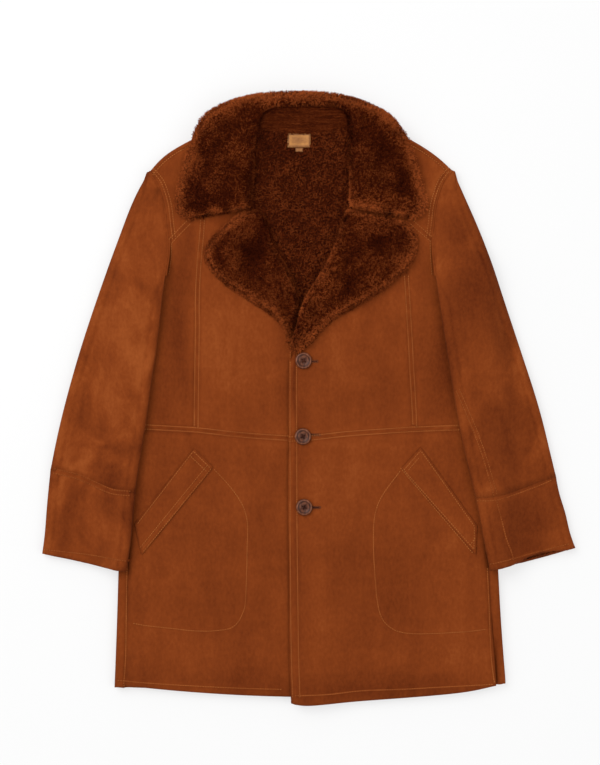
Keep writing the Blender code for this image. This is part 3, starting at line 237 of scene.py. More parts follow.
class Tree:
    """A Principled material while it is wired up."""

    def __init__(self, name: str, roughness: float, specular: float) -> None:
        """Starts the material.

        Args:
            name: the material's name.
            roughness: the surface's roughness.
            specular: the surface's specular level.
        """
        self.material = bpy.data.materials.new(name)
        self.material.use_nodes = True
        self.nodes = self.material.node_tree.nodes
        self.links = self.material.node_tree.links
        self.shader = self.nodes["Principled BSDF"]
        self.shader.inputs["Roughness"].default_value = roughness
        self.shader.inputs["Specular IOR Level"].default_value = specular
        self.place = self.nodes.new("ShaderNodeTexCoord").outputs["Object"]

    def fibre_glow(self, weight: float, roughness: float, tint: tuple[float, ...]) -> None:
        """Sets the sheen of a napped or woolly surface.

        Args:
            weight: how strong it is.
            roughness: how wide it spreads.
            tint: its colour.
        """
        self.shader.inputs["Sheen Weight"].default_value = weight
        self.shader.inputs["Sheen Roughness"].default_value = roughness
        self.shader.inputs["Sheen Tint"].default_value = (*tint, 1.0)

    def noise(self, scale: float, detail: float, stretch: Triple = (1, 1, 1),
              distortion: float = 0.0, turn: float = 0.0) -> Socket:
        """Adds a noise texture.

        Args:
            scale: noise cells to a metre.
            detail: octaves.
            stretch: scale along each axis.
            distortion: how much it is pulled about.
            turn: its angle about the vertical, in degrees.

        Returns:
            The noise value's socket.
        """
        mapping = self.nodes.new("ShaderNodeMapping")
        mapping.inputs["Scale"].default_value = stretch
        mapping.inputs["Rotation"].default_value = (0.0, 0.0, math.radians(turn))
        self.links.new(self.place, mapping.inputs["Vector"])
        texture = self.nodes.new("ShaderNodeTexNoise")
        texture.inputs["Scale"].default_value = scale
        texture.inputs["Detail"].default_value = detail
        texture.inputs["Distortion"].default_value = distortion
        self.links.new(mapping.outputs["Vector"], texture.inputs["Vector"])
        return texture.outputs[0]

    def attribute(self, name: str) -> Socket:
        """The value that a mesh keeps under a name.

        Args:
            name: the name.

        Returns:
            The value's socket.
        """
        node = self.nodes.new("ShaderNodeAttribute")
        node.attribute_name = name
        return node.outputs["Fac"]

    def math(self, operation: str, first: object, second: object = 0.5) -> Socket:
        """Adds a sum of two sockets or numbers and returns its socket.

        Args:
            operation: the kind of sum.
            first: a socket or a number.
            second: the other one.

        Returns:
            The result's socket.
        """
        node = self.nodes.new("ShaderNodeMath")
        node.operation = operation
        for slot, value in zip(node.inputs, (first, second)):
            if isinstance(value, (int, float)):
                slot.default_value = value
            else:
                self.links.new(value, slot)
        return node.outputs[0]

    def weighed(self, *terms: tuple[object, float]) -> Socket:
        """Adds up sockets, each about its middle value 0.5 and times its weight.

        Args:
            terms: pairs of a socket and its weight.

        Returns:
            The sum, about 0.5.
        """
        total: object = 0.5
        for socket, weight in terms:
            centred = self.math("SUBTRACT", socket, 0.5)
            total = self.math("ADD", self.math("MULTIPLY", centred, weight), total)
        return total

    def ramp(self, factor: Socket, stops: list[tuple[float, Triple]]) -> Socket:
        """Turns a value into a colour by stops of place and colour.

        Args:
            factor: the value.
            stops: places from 0 to 1 and their colours.

        Returns:
            The colour's socket.
        """
        node = self.nodes.new("ShaderNodeValToRGB")
        elements = node.color_ramp.elements
        while len(elements) < len(stops):
            elements.new(0.5)
        for element, (place, colour) in zip(elements, stops):
            element.position = place
            element.color = (*colour, 1.0)
        self.links.new(factor, node.inputs[0])
        return node.outputs["Color"]

    def bump(self, height: Socket, distance: float, strength: float) -> None:
        """Adds a bump, on top of any that is there.

        Args:
            height: the value that stands up.
            distance: how high it stands, in metres.
            strength: how much of it shows.
        """
        node = self.nodes.new("ShaderNodeBump")
        node.inputs["Distance"].default_value = distance
        node.inputs["Strength"].default_value = strength
        self.links.new(height, node.inputs["Height"])
        old = self.shader.inputs["Normal"].links
        if old:
            self.links.new(old[0].from_socket, node.inputs["Normal"])
        self.links.new(node.outputs["Normal"], self.shader.inputs["Normal"])

    def colour(self, socket: Socket) -> None:
        """Gives the shader its colour."""
        self.links.new(socket, self.shader.inputs["Base Color"])


@dataclass(frozen=True)
class SuedeFinish:
    """Napped rust suede, brushed in patches; its tone value brings painted shade down in the
    seams.
    """

    dark: Triple = (0.092, 0.0155, 0.0030)
    middle: Triple = (0.205, 0.0412, 0.0074)
    light: Triple = (0.335, 0.0840, 0.0180)
    nap: float = 260.0
    grain: float = 1500.0

    def material(self) -> Material:
        """Makes the suede.

        Returns:
            The material.
        """
        tree = Tree("rust_suede", 0.95, 0.05)
        tree.fibre_glow(0.06, 0.5, (0.95, 0.40, 0.14))
        cloud = tree.noise(6.0, 3.0, distortion=0.6)
        brushed = tree.noise(17.0, 6.0, (1.0, 0.6, 1.0), 0.7, 24.0)
        streak = tree.noise(46.0, 4.0, (1.0, 0.22, 1.0), 0.4, -6.0)
        cross = tree.noise(52.0, 4.0, (0.2, 1.0, 1.0), 0.3, 3.0)
        nap = tree.noise(self.nap, 3.0, (1.0, 0.6, 1.0))
        grain = tree.noise(self.grain, 2.0)
        tone = tree.attribute("tone")
        rough = tree.attribute("brush")
        marks = tree.math("MULTIPLY", tree.math("SUBTRACT", brushed, 0.5), rough)
        factor = tree.weighed((cloud, 0.40), (streak, 0.26), (cross, 0.16), (nap, 0.34),
                              (grain, 0.26), (tone, 1.0))
        factor = tree.math("ADD", factor, marks)
        tree.colour(tree.ramp(factor, [(0.05, self.dark), (0.5, self.middle),
                                       (0.98, self.light)]))
        tree.bump(nap, 0.0006, 0.35)
        tree.bump(grain, 0.0003, 0.45)
        return tree.material


@dataclass(frozen=True)
class WoolFinish:
    """Dyed wool, dark at the root and warm at the tip; the dark root is partly painted shade deep
    in the pile.
    """

    name: str
    root: Triple
    middle: Triple
    tip: Triple
    glow: float = 0.03
    patches: float = 60.0
    mottle: float = 0.30
    stretch: Triple = (1.0, 1.0, 1.0)

    def material(self) -> Material:
        """Makes the wool.

        Returns:
            The material.
        """
        tree = Tree(self.name, 0.9, 0.03)
        tree.fibre_glow(self.glow, 0.4, (0.9, 0.26, 0.06))
        tint = tree.attribute("tint")
        along = tree.attribute("along")
        patch = tree.noise(self.patches, 3.0, self.stretch)
        speck = tree.noise(420.0, 2.0)
        # tint carries painted light and shade; along darkens towards the root, partly painted
        # shade deep in the pile
        factor = tree.weighed((tint, 0.75), (along, 0.38), (patch, self.mottle), (speck, 0.22))
        tree.colour(tree.ramp(factor, [(0.08, self.root), (0.5, self.middle),
                                       (0.95, self.tip)]))
        tree.bump(speck, 0.0008, 0.5)
        return tree.material


@dataclass(frozen=True)
class ThreadFinish:
    """Twisted thread, matte with a light twist."""

    name: str
    dark: Triple
    light: Triple

    def material(self) -> Material:
        """Makes the thread.

        Returns:
            The material.
        """
        tree = Tree(self.name, 0.8, 0.08)
        twist = tree.noise(900.0, 2.0, (1.0, 1.0, 1.0), 0.8)
        patch = tree.noise(25.0, 3.0)
        factor = tree.weighed((twist, 0.7), (patch, 1.2))
        tree.colour(tree.ramp(factor, [(0.2, self.dark), (0.8, self.light)]))
        tree.bump(twist, 0.0003, 0.5)
        return tree.material


@dataclass(frozen=True)
class HornFinish:
    """Polished plum-brown horn with pale streaks."""

    dark: Triple = (0.016, 0.0046, 0.0026)
    middle: Triple = (0.080, 0.0220, 0.0092)
    light: Triple = (0.250, 0.0880, 0.0420)

    def material(self) -> Material:
        """Makes the horn.

        Returns:
            The material.
        """
        tree = Tree("plum_horn", 0.42, 0.18)
        tree.shader.inputs["Coat Weight"].default_value = 0.06
        tree.shader.inputs["Coat Roughness"].default_value = 0.2
        streak = tree.noise(190.0, 5.0, (1.0, 0.35, 1.0), 2.2, 38.0)
        fleck = tree.noise(900.0, 2.0)
        # the button's painted rings of light and shade
        rim = tree.attribute("tone")
        factor = tree.weighed((streak, 1.1), (fleck, 0.25), (rim, 0.8))
        tree.colour(tree.ramp(factor, [(0.1, self.dark), (0.5, self.middle),
                                       (0.9, self.light)]))
        tree.bump(fleck, 0.0001, 0.15)
        return tree.material


@dataclass(frozen=True)
class WovenFinish:
    """Satin-woven golden tape."""

    shade: Triple = (0.180, 0.058, 0.010)
    pale: Triple = (0.510, 0.212, 0.046)
    threads: float = 1450.0

    def material(self) -> Material:
        """Makes the tape.

        Returns:
            The material.
        """
        tree = Tree("golden_tape", 0.55, 0.35)
        tree.fibre_glow(0.05, 0.3, (1.0, 0.7, 0.4))
        warp = tree.noise(self.threads, 1.0, (1.0, 0.12, 1.0))
        weft = tree.noise(self.threads, 1.0, (0.12, 1.0, 1.0))
        worn = tree.noise(90.0, 4.0)
        edge = tree.attribute("tone")
        weave = tree.math("MAXIMUM", warp, weft)
        factor = tree.weighed((weave, 0.9), (worn, 0.7), (edge, 0.9))
        tree.colour(tree.ramp(factor, [(0.15, self.shade), (0.85, self.pale)]))
        tree.bump(weave, 0.0003, 0.6)
        return tree.material


@dataclass(frozen=True)
class FloorFinish:
    """A plain pale studio floor."""

    colour: Triple = (0.30, 0.30, 0.30)
    glow: float = 0.63

    def material(self) -> Material:
        """Makes the floor, bright enough of its own that shadows stay faint.

        Returns:
            The material.
        """
        tree = Tree("pale_floor", 0.95, 0.1)
        tree.shader.inputs["Emission Color"].default_value = (1.0, 1.0, 1.0, 1.0)
        tree.shader.inputs["Emission Strength"].default_value = self.glow
        soft = tree.noise(1.5, 2.0)
        bright = tuple(min(1.0, part * 1.02) for part in self.colour)
        tree.colour(tree.ramp(soft, [(0.2, self.colour), (0.8, bright)]))
        return tree.material


@dataclass
class Finishes:
    """Every material of the coat, made once."""

    suede: Material
    pile: Material
    lining: Material
    band: Material
    thread: Material
    purl: Material
    fine_thread: Material
    button_thread: Material
    horn: Material
    woven: Material

    @classmethod
    def make(cls) -> "Finishes":
        """Makes them all.

        Returns:
            The finishes.
        """
        return cls(
            suede=SuedeFinish().material(),
            pile=WoolFinish("collar_wool", (0.022, 0.0026, 0.0005), (0.072, 0.0098, 0.0018),
                            (0.345, 0.0740, 0.0160)).material(),
            lining=WoolFinish("lining_wool", (0.014, 0.0017, 0.0004),
                              (0.070, 0.0106, 0.0021), (0.180, 0.0360, 0.0076)).material(),
            band=WoolFinish("combed_wool", (0.008, 0.0011, 0.0003), (0.068, 0.0102, 0.0020),
                            (0.200, 0.0400, 0.0085), 0.03, 380.0,
                            0.85, (0.06, 1.0, 1.0)).material(),
            thread=ThreadFinish("tan_thread", (0.300, 0.082, 0.017),
                                (0.520, 0.180, 0.044)).material(),
            purl=ThreadFinish("russet_thread", (0.075, 0.018, 0.007),
                              (0.190, 0.055, 0.020)).material(),
            fine_thread=ThreadFinish("rust_thread", (0.215, 0.052, 0.010),
                                     (0.390, 0.118, 0.027)).material(),
            button_thread=ThreadFinish("brown_thread", (0.020, 0.005, 0.003),
                                       (0.075, 0.020, 0.010)).material(),
            horn=HornFinish().material(),
            woven=WovenFinish().material(),
        )


# ------------------------------------------------------------------ meshes

def object_from(name: str, vertices: Array, faces: list[Array], finishes: list,
                values: dict[str, Array] | None = None) -> Object:
    """Makes a smooth object from arrays.

    Args:
        name: the piece's name.
        vertices: one row each, in metres.
        faces: arrays of corner indices, one array for each number of corners.
        finishes: its materials.
        values: values to keep on the vertices, by name.

    Returns:
        The object, in the scene.
    """
    mesh = bpy.data.meshes.new(name)
    mesh.vertices.add(len(vertices))
    mesh.vertices.foreach_set("co", np.asarray(vertices, np.float32).ravel())
    corners = np.concatenate([np.asarray(part, np.int32).ravel() for part in faces])
    counts = np.concatenate([np.full(len(part), part.shape[1], np.int32) for part in faces])
    starts = np.concatenate([[0], np.cumsum(counts)[:-1]]).astype(np.int32)
    mesh.loops.add(len(corners))
    mesh.loops.foreach_set("vertex_index", corners)
    mesh.polygons.add(len(counts))
    mesh.polygons.foreach_set("loop_start", starts)
    mesh.update(calc_edges=True)
    mesh.validate()
    mesh.polygons.foreach_set("use_smooth", np.ones(len(mesh.polygons), bool))
    for finish in finishes:
        mesh.materials.append(finish)
    for key, value in (values or {}).items():
        keep_values(mesh, key, value)
    return link(name, mesh)


def link(name: str, data: bpy.types.ID) -> Object:
    """Puts a mesh, a light or a camera into the scene.

    Args:
        name: the object's name.
        data: what it shows.

    Returns:
        The object.
    """
    thing = bpy.data.objects.new(name, data)
    bpy.context.scene.collection.objects.link(thing)
    return thing


def belongs(slot: Slot, *pieces: Object) -> None:
    """Fixes pieces to the coat's one body.

    Args:
        slot: not used.
        pieces: the pieces.
    """
    for piece in pieces:
        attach(piece, BODY)


def keep_values(mesh: Mesh, name: str, values: Array) -> None:
    """Keeps one number for each vertex under a name that the finishes read."""
    layer = mesh.attributes.get(name) or mesh.attributes.new(name, "FLOAT", "POINT")
    layer.data.foreach_set("value", np.asarray(values, np.float32))


def read_array(items: bpy.types.bpy_prop_collection, key: str, width: int,
               kind: type = np.float32) -> Array:
    """Reads a value of every item of a mesh.

    Args:
        items: the mesh's vertices, faces or the like.
        key: the value's name.
        width: numbers in each value.
        kind: the kind of number.

    Returns:
        One row for each item, or one number where the width is 1.
    """
    values = np.empty(len(items) * width, kind)
    items.foreach_get(key, values)
    return values.reshape(-1, width) if width > 1 else values


def plan_distance(spots: Array | list[Vector], places: Array) -> Array:
    """How far places lie in plan from the nearest of some spots.

    Args:
        spots: the spots, in metres.
        places: the places, one row each, in metres.

    Returns:
        A distance for each place, in millimetres.
    """
    if len(spots) == 0:
        return np.full(len(places), FAR)
    tree = kdtree.KDTree(len(spots))
    for index, spot in enumerate(spots):
        tree.insert((spot[0], spot[1], 0.0), index)
    tree.balance()
    return np.array([tree.find((x, y, 0.0))[2] for x, y, _ in places]) / MM


def surface_tree(meshes: list[Mesh]) -> BVHTree:
    """Makes a search tree of the faces of some meshes.

    Args:
        meshes: the meshes.

    Returns:
        The tree.
    """
    vertices: list[Vector] = []
    polygons: list[list[int]] = []
    for mesh in meshes:
        start = len(vertices)
        vertices += [vert.co.copy() for vert in mesh.vertices]
        polygons += [[start + index for index in face.vertices] for face in mesh.polygons]
    return BVHTree.FromPolygons(vertices, polygons)


def tubes(rings: list[Array], sides: int, clockwise: bool) -> tuple[Array, list[Array]]:
    """Skins many tubes of one kind at once and closes their ends.

    Args:
        rings: the corners, station by station, each an array with a row for each tube.
        sides: corners in a ring.
        clockwise: whether the corners run clockwise, seen along the tube.

    Returns:
        Vertices and faces.
    """
    quads = []
    for low in range(0, len(rings) - sides, sides):
        for side in range(sides):
            after = (side + 1) % sides
            quad = [low + side, low + after, low + sides + after, low + sides + side]
            quads.append(quad if clockwise else quad[:1] + quad[:0:-1])
    start = list(range(sides))
    end = [len(rings) - sides + side for side in start]
    caps = [start[::-1], end] if clockwise else [start, end[::-1]]
    first = np.arange(len(rings[0]))[:, None, None] * len(rings)
    return (np.stack(rings, axis=1).reshape(-1, 3),
            [(first + np.array(quads)[None]).reshape(-1, 4),
             (first + np.array(caps)[None]).reshape(-1, sides)])


class Shell:
    """A fine closed shell over one or more solids of the frame, shaped by arrays."""

    def __init__(self, name: str, nodes: tuple[str, ...], levels: int = 2) -> None:
        """Copies the solids' form and refines it.

        Args:
            name: the piece's name.
            nodes: the solids whose form it takes.
            levels: how often the cage is halved.
        """
        self.name = name
        self.nodes = nodes
        cage = bmesh.new()
        for node in nodes:
            cage.from_mesh(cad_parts[node].data)
        bmesh.ops.remove_doubles(cage, verts=cage.verts[:], dist=WELD)
        bmesh.ops.join_triangles(cage, faces=cage.faces[:],
                                 angle_face_threshold=MERGE_BEND,
                                 angle_shape_threshold=MERGE_CORNER)
        self.rim = self.rim_points(cage)
        crease = cage.edges.layers.float.new("crease_edge")
        for edge in cage.edges:
            if len(edge.link_faces) == 2 and edge.calc_face_angle(0.0) > SHARP:
                edge[crease] = 1.0
        mesh = bpy.data.meshes.new(name)
        cage.to_mesh(mesh)
        cage.free()
        rough = link(name + "_cage", mesh)
        smooth = rough.modifiers.new("fine", "SUBSURF")
        smooth.levels = levels
        smooth.render_levels = levels
        found = rough.evaluated_get(bpy.context.evaluated_depsgraph_get())
        self.mesh = bpy.data.meshes.new_from_object(found)
        bpy.data.objects.remove(rough)
        self.mesh.name = name
        self.points = read_array(self.mesh.vertices, "co", 3).astype(float)
        self.read_normals()

    def read_normals(self) -> None:
        """Reads the vertex normals of the mesh as it is."""
        self.normals = read_array(self.mesh.vertex_normals, "vector", 3).astype(float)

    @staticmethod
    def rim_points(cage: bmesh.types.BMesh, step: float = 0.004) -> list[Vector]:
        """Points along the upper sharp edges, where panels meet.

        Args:
            cage: the solids, welded.
            step: distance between the points, in metres.

        Returns:
            The points, at height 0.
        """
        found = []
        for edge in cage.edges:
            if len(edge.link_faces) != 2 or edge.calc_face_angle(0.0) < SHARP:
                continue
            if max(face.normal.z for face in edge.link_faces) < UPWARD:
                continue
            start, end = (vert.co for vert in edge.verts)
            pieces = max(1, int((end - start).length / step))
            for index in range(pieces + 1):
                spot = start.lerp(end, index / pieces)
                found.append(Vector((spot.x, spot.y, 0.0)))
        return found

    def rim_distance(self) -> Array:
        """Each point's distance in plan from the nearest panel edge, in millimetres."""
        return plan_distance(self.rim, self.points)

    def write(self) -> None:
        """Puts the points back into the mesh."""
        self.mesh.vertices.foreach_set("co", self.points.astype(np.float32).ravel())
        self.mesh.update()
        self.read_normals()

    def finished(self, finishes: list, values: dict[str, Array]) -> Object:
        """Makes the object.

        Args:
            finishes: its materials.
            values: numbers to keep on the points.

        Returns:
            The object, in the scene.
        """
        self.write()
        self.mesh.materials.clear()
        for finish in finishes:
            self.mesh.materials.append(finish)
        self.mesh.polygons.foreach_set("use_smooth", np.ones(len(self.mesh.polygons), bool))
        for key, value in values.items():
            keep_values(self.mesh, key, value)
        return link(self.name, self.mesh)

    def face_normals(self) -> Array:
        """The faces' normals, one row each."""
        return read_array(self.mesh.polygons, "normal", 3)

    def face_centres(self) -> Array:
        """The faces' middles, one row each, in metres."""
        return read_array(self.mesh.polygons, "center", 3)

    def paint(self, picked: Array, index: int) -> None:
        """Gives the picked faces another of the materials.

        Args:
            picked: whether each face is picked.
            index: the material's number.
        """
        chosen = np.zeros(len(self.mesh.polygons), np.int32)
        chosen[picked] = index
        self.mesh.polygons.foreach_set("material_index", chosen)

    def scatter(self, count: int, keep: Array, rng: Random) -> tuple[Array, Array]:
        """Spreads places evenly over some of the faces.

        Args:
            count: how many places.
            keep: the share of places each face gets, 0 for none.
            rng: the random numbers.

        Returns:
            The places and the smooth normals there, one row each.
        """
        self.mesh.calc_loop_triangles()
        triangles = self.mesh.loop_triangles
        corners = read_array(triangles, "vertices", 3, np.int32)
        owners = read_array(triangles, "polygon_index", 1, np.int32)
        weights = read_array(triangles, "area", 1) * keep[owners]
        picks = rng.choice(len(triangles), count, p=weights / weights.sum())
        first, second = rng.random(count), rng.random(count)
        over = first + second > 1.0
        first[over], second[over] = 1.0 - first[over], 1.0 - second[over]
        shares = np.stack([1.0 - first - second, first, second], axis=1)[:, :, None]
        places = (self.points[corners[picks]] * shares).sum(axis=1)
        normals = (self.normals[corners[picks]] * shares).sum(axis=1)
        normals /= np.maximum(np.linalg.norm(normals, axis=1, keepdims=True), TINY)
        return places, normals


# ------------------------------------------------------------------ suede

CREASES = (
    # the right sleeve: brushed and creased at the elbow
    Ridge(-262, 190, -62, 70, 9, 1.1), Ridge(-248, 120, -74, 60, 8, -0.9),
    Ridge(-300, 60, -48, 46, 7, 1.0), Ridge(-272, -18, -36, 40, 6, 1.2),
    Ridge(-318, -48, -30, 34, 6, -1.0), Ridge(-296, -84, -26, 42, 6, 1.3),
    Ridge(-338, -104, -20, 30, 5, -0.9), Ridge(-262, -70, -44, 30, 5, -1.0),
    Ridge(-352, 10, -66, 50, 9, 0.8), Ridge(-310, 136, -68, 60, 10, -0.8),
    Ridge(-330, -200, -78, 46, 9, 0.7), Ridge(-290, -215, -84, 40, 8, -0.6),
    # the left sleeve
    Ridge(252, 214, 66, 60, 9, 1.0), Ridge(244, 120, 76, 66, 9, -0.8),
    Ridge(290, 96, 60, 50, 8, 0.8), Ridge(276, -6, 64, 44, 7, 1.0),
    Ridge(318, -60, 58, 40, 7, -0.8), Ridge(286, -96, 42, 30, 6, 0.9),
    Ridge(352, -120, 66, 40, 8, 0.7), Ridge(330, -214, 72, 36, 8, -0.7),
    Ridge(372, -210, 62, 30, 6, 0.8),
    # under the arms and down the fronts
    Ridge(-196, 170, -64, 46, 8, -0.8), Ridge(-184, 140, -58, 40, 7, 0.7),
    Ridge(190, 176, 62, 44, 8, -0.8), Ridge(178, 148, 56, 40, 7, 0.7),
    Ridge(-120, -10, 88, 70, 14, 0.6), Ridge(-60, 40, 84, 60, 12, -0.6),
    Ridge(88, 30, 92, 60, 13, -0.6), Ridge(120, -20, 96, 56, 12, 0.6),
    Ridge(-214, -10, 80, 40, 9, 0.6), Ridge(214, -10, 98, 40, 9, -0.6),
    Ridge(40, -180, 90, 90, 16, -0.7), Ridge(74, -330, 86, 80, 14, 0.7),
    Ridge(-40, -250, 91, 90, 15, 0.7), Ridge(-190, -400, 84, 50, 12, 0.7),
    Ridge(-120, -410, 94, 44, 10, -0.6), Ridge(170, -410, 88, 46, 11, 0.7),
    Ridge(250, -400, 94, 40, 10, -0.6), Ridge(-250, -330, 88, 60, 11, -0.6),
    Ridge(262, -300, 92, 60, 11, 0.6), Ridge(20, 20, 78, 60, 11, 0.6),
)
TONE_AND_PAINTED_LIGHT = (
    # lighter on the sleeves and where the suede is brushed up: the nap's own tone, with painted
    # highlights on the crease crests and on the sleeve toward the light
    Ridge(-310, -10, -72, 110, 60, 0.05), Ridge(-262, 235, -66, 70, 30, 0.04),
    Ridge(-300, -88, -28, 44, 10, 0.16), Ridge(-268, -60, -40, 36, 8, 0.12),
    Ridge(-262, 66, -52, 52, 12, 0.08), Ridge(-330, 40, -60, 60, 14, 0.06),
    Ridge(-300, 60, -72, 60, 30, -0.10), Ridge(-330, -66, -72, 40, 26, 0.05),
    Ridge(-230, 260, -70, 60, 16, 0.06), Ridge(-345, -110, -14, 34, 9, 0.10),
    Ridge(250, 60, 78, 130, 14, 0.06), Ridge(206, 330, 50, 50, 20, 0.12),
    Ridge(-110, 110, 90, 120, 46, 0.06), Ridge(60, 40, 90, 60, 30, 0.04),
    Ridge(200, -290, 90, 100, 40, 0.07),
    # darker down the left sleeve, at the sides, down the skirts and along the hem: painted shade
    # on the side away from the light and beside the sleeves, with the suede's own uneven tone
    Ridge(276, 190, 68, 200, 50, -0.25), Ridge(345, -195, 66, 70, 50, -0.31),
    Ridge(320, -40, 66, 90, 40, -0.06), Ridge(-190, 110, 90, 130, 18, -0.25),
    Ridge(120, -250, 90, 170, 90, -0.08), Ridge(-140, -260, 90, 160, 90, -0.04),
    Ridge(-12, -220, 90, 300, 8, -0.10), Ridge(-30, 60, 88, 90, 12, -0.08),
    Ridge(-220, 0, 88, 150, 14, -0.12), Ridge(222, -10, 94, 150, 14, -0.10),
    Ridge(110, 200, 76, 60, 40, -0.05), Ridge(-268, -330, 90, 120, 12, -0.05),
    Ridge(-150, -434, 0, 150, 24, -0.12), Ridge(130, -444, 2, 190, 26, -0.21),
    Ridge(-206, 335, -50, 50, 16, -0.05),
    # painted shade down the opening, in the groove between its two rows of stitches
    Ridge(-14.2, 20, 90, 62, 3.2, -0.30), Ridge(-14.2, -150, 90, 150, 3.2, -0.12),
)
SWAYS = (Waves(0.54, 0.070, 0), Waves(0.315, 0.026, 1))
PUCKER = Waves(0.25, 0.011, 2)


@dataclass(frozen=True)
class SeamSide:
    """How suede looks beside a seam, with painted shade in its crack and a painted highlight on
    the swell; distances from it and heights in millimetres.
    """

    valley: float = 3.0
    swell: float = 0.45
    pucker: Pair = (7.0, 9.0)
    # a painted highlight on the puckered swell beside the seam: where it lies, how wide and how
    # much lighter
    highlight_span: Pair = (6.0, 4.0)
    swell_painted_highlight: float = 0.05
    # painted shade down in the seam's crack: how wide and how much darker
    crack: float = 2.2
    crack_painted_shade: float = 0.08


BESIDE = SeamSide()


@dataclass
class SuedePanel:
    """A cut piece of sheepskin, suede side out, with its wool pressed flat inside."""

    name: str
    nodes: tuple[str, ...]
    cut: Pair
    area: float
    held: Held = Held.LAID
    rests_on: tuple[str, ...] = ("back_body",)
    brush: float = 0.35
    valley: float = 0.7
    tone: float = 0.45
    # painted shade on faces that look sideways, away from the light above
    side_painted_shade: float = 0.10
    wool_tint: float = 0.4
    levels: int = 2

    def build(self, finishes: Finishes) -> Object:
        """Makes the panel's shell, shapes it and dresses it.

        Args:
            finishes: the coat's materials.

        Returns:
            The panel.
        """
        shell = Shell(self.name, self.nodes, self.levels)
        up = soft_step((shell.normals[:, 2] - 0.1) / 0.6)
        near = shell.rim_distance()
        flat = shell.points * (1, 1, 0)
        valley = bell(near, 0.0, BESIDE.valley)
        height = ridges_at(CREASES, shell.points) + sum(sway.at(flat) for sway in SWAYS)
        height += PUCKER.at(flat) * bell(near, *BESIDE.pucker) - self.valley * valley
        outward = shell.normals * (1.0, 1.0, 0.0)
        shell.points += outward * (BESIDE.swell * MM * valley)[:, None]
        shell.points[:, 2] += up * height * MM
        self.shape(shell, up)
        # the suede's own tone in patches, with painted light and shade
        marks = ridges_at(TONE_AND_PAINTED_LIGHT, shell.points)
        # painted shade down in the seam cracks
        tone = self.tone + marks - BESIDE.crack_painted_shade * bell(near, 0.0, BESIDE.crack)
        # a painted highlight on the swell beside each seam, painted shade on faces that look
        # sideways
        tone += BESIDE.swell_painted_highlight * bell(near, *BESIDE.highlight_span) - self.side_painted_shade * (1.0 - up)
        inside = np.full(len(tone), self.wool_tint)
        panel = shell.finished([finishes.suede, finishes.lining],
                               {"tone": tone, "brush": self.brush * (1.0 + 4.0 * marks),
                                "tint": inside, "along": inside})
        self.line(shell)
        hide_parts(*self.nodes)
        belongs(Slot.SUEDE, panel)
        return panel

    def shape(self, shell: Shell, up: Array) -> None:
        """Leaves the shell as it is; some panels bend it further."""

    def line(self, shell: Shell) -> None:
        """Shows wool on the faces that look into the coat."""
        shell.paint(shell.face_normals()[:, 2] < -0.5, 1)


@dataclass
class BackPanel(SuedePanel):
    """A piece of the back: its wool looks up into the coat, its suede lies below."""

    wool_out: float = 150.0

    def line(self, shell: Shell) -> None:
        """Shows wool on top inside the turned rim.

        Args:
            shell: the panel's shell.
        """
        centres = shell.face_centres()
        out = np.abs(centres[:, 0] / MM - LINE_X)
        top = shell.face_normals()[:, 2] > 0.5
        shell.paint(top & (out < self.wool_out) & (centres[:, 1] > 0.0), 1)


@dataclass
class SleevePanel(SuedePanel):
    """A sleeve; its head is drawn up to the shoulder's end."""

    head_up: float = 336.0
    head_ramp: float = 10.0
    head_reach: float = 5.0

    def shape(self, shell: Shell, up: Array) -> None:
        """Draws the head up."""
        share = soft_step((shell.points[:, 1] / MM - self.head_up) / self.head_ramp)
        shell.points[:, 1] += share * self.head_reach * MM


@dataclass
class CuffPanel(SuedePanel):
    """A cuff section; the wearer's left one gapes a little at its hem."""

    gape: float = 0.0
    gape_at: float = 368.0
    gape_half: float = 48.0
    gape_deep: float = 16.0
    gape_lift: float = 1.6
    lip_up: float = 9.0
    hem_up: float = -250.0
    hem_slope: float = 0.16

    def shape(self, shell: Shell, up: Array) -> None:
        """Draws the upper lip of the mouth back from the hem.

        Args:
            shell: the cuff's shell.
            up: how far each point looks up, 0 to 1.
        """
        if self.gape == 0.0:
            return
        x = shell.points[:, 0] / MM - LINE_X
        y = shell.points[:, 1] / MM
        hem = self.hem_up + self.hem_slope * (x - self.gape_at)
        near = bell(np.maximum(y - hem, 0.0), 0.0, self.gape_deep)
        across = np.clip(1.0 - ((x - self.gape_at) / self.gape_half) ** 2, 0.0, 1.0) ** 1.5
        high = soft_step((shell.points[:, 2] / MM - self.lip_up) / 2.0)
        shell.points[:, 1] += high * near * across * self.gape * MM
        shell.points[:, 2] += high * near * across * self.gape_lift * MM


# ------------------------------------------------------------------ wool

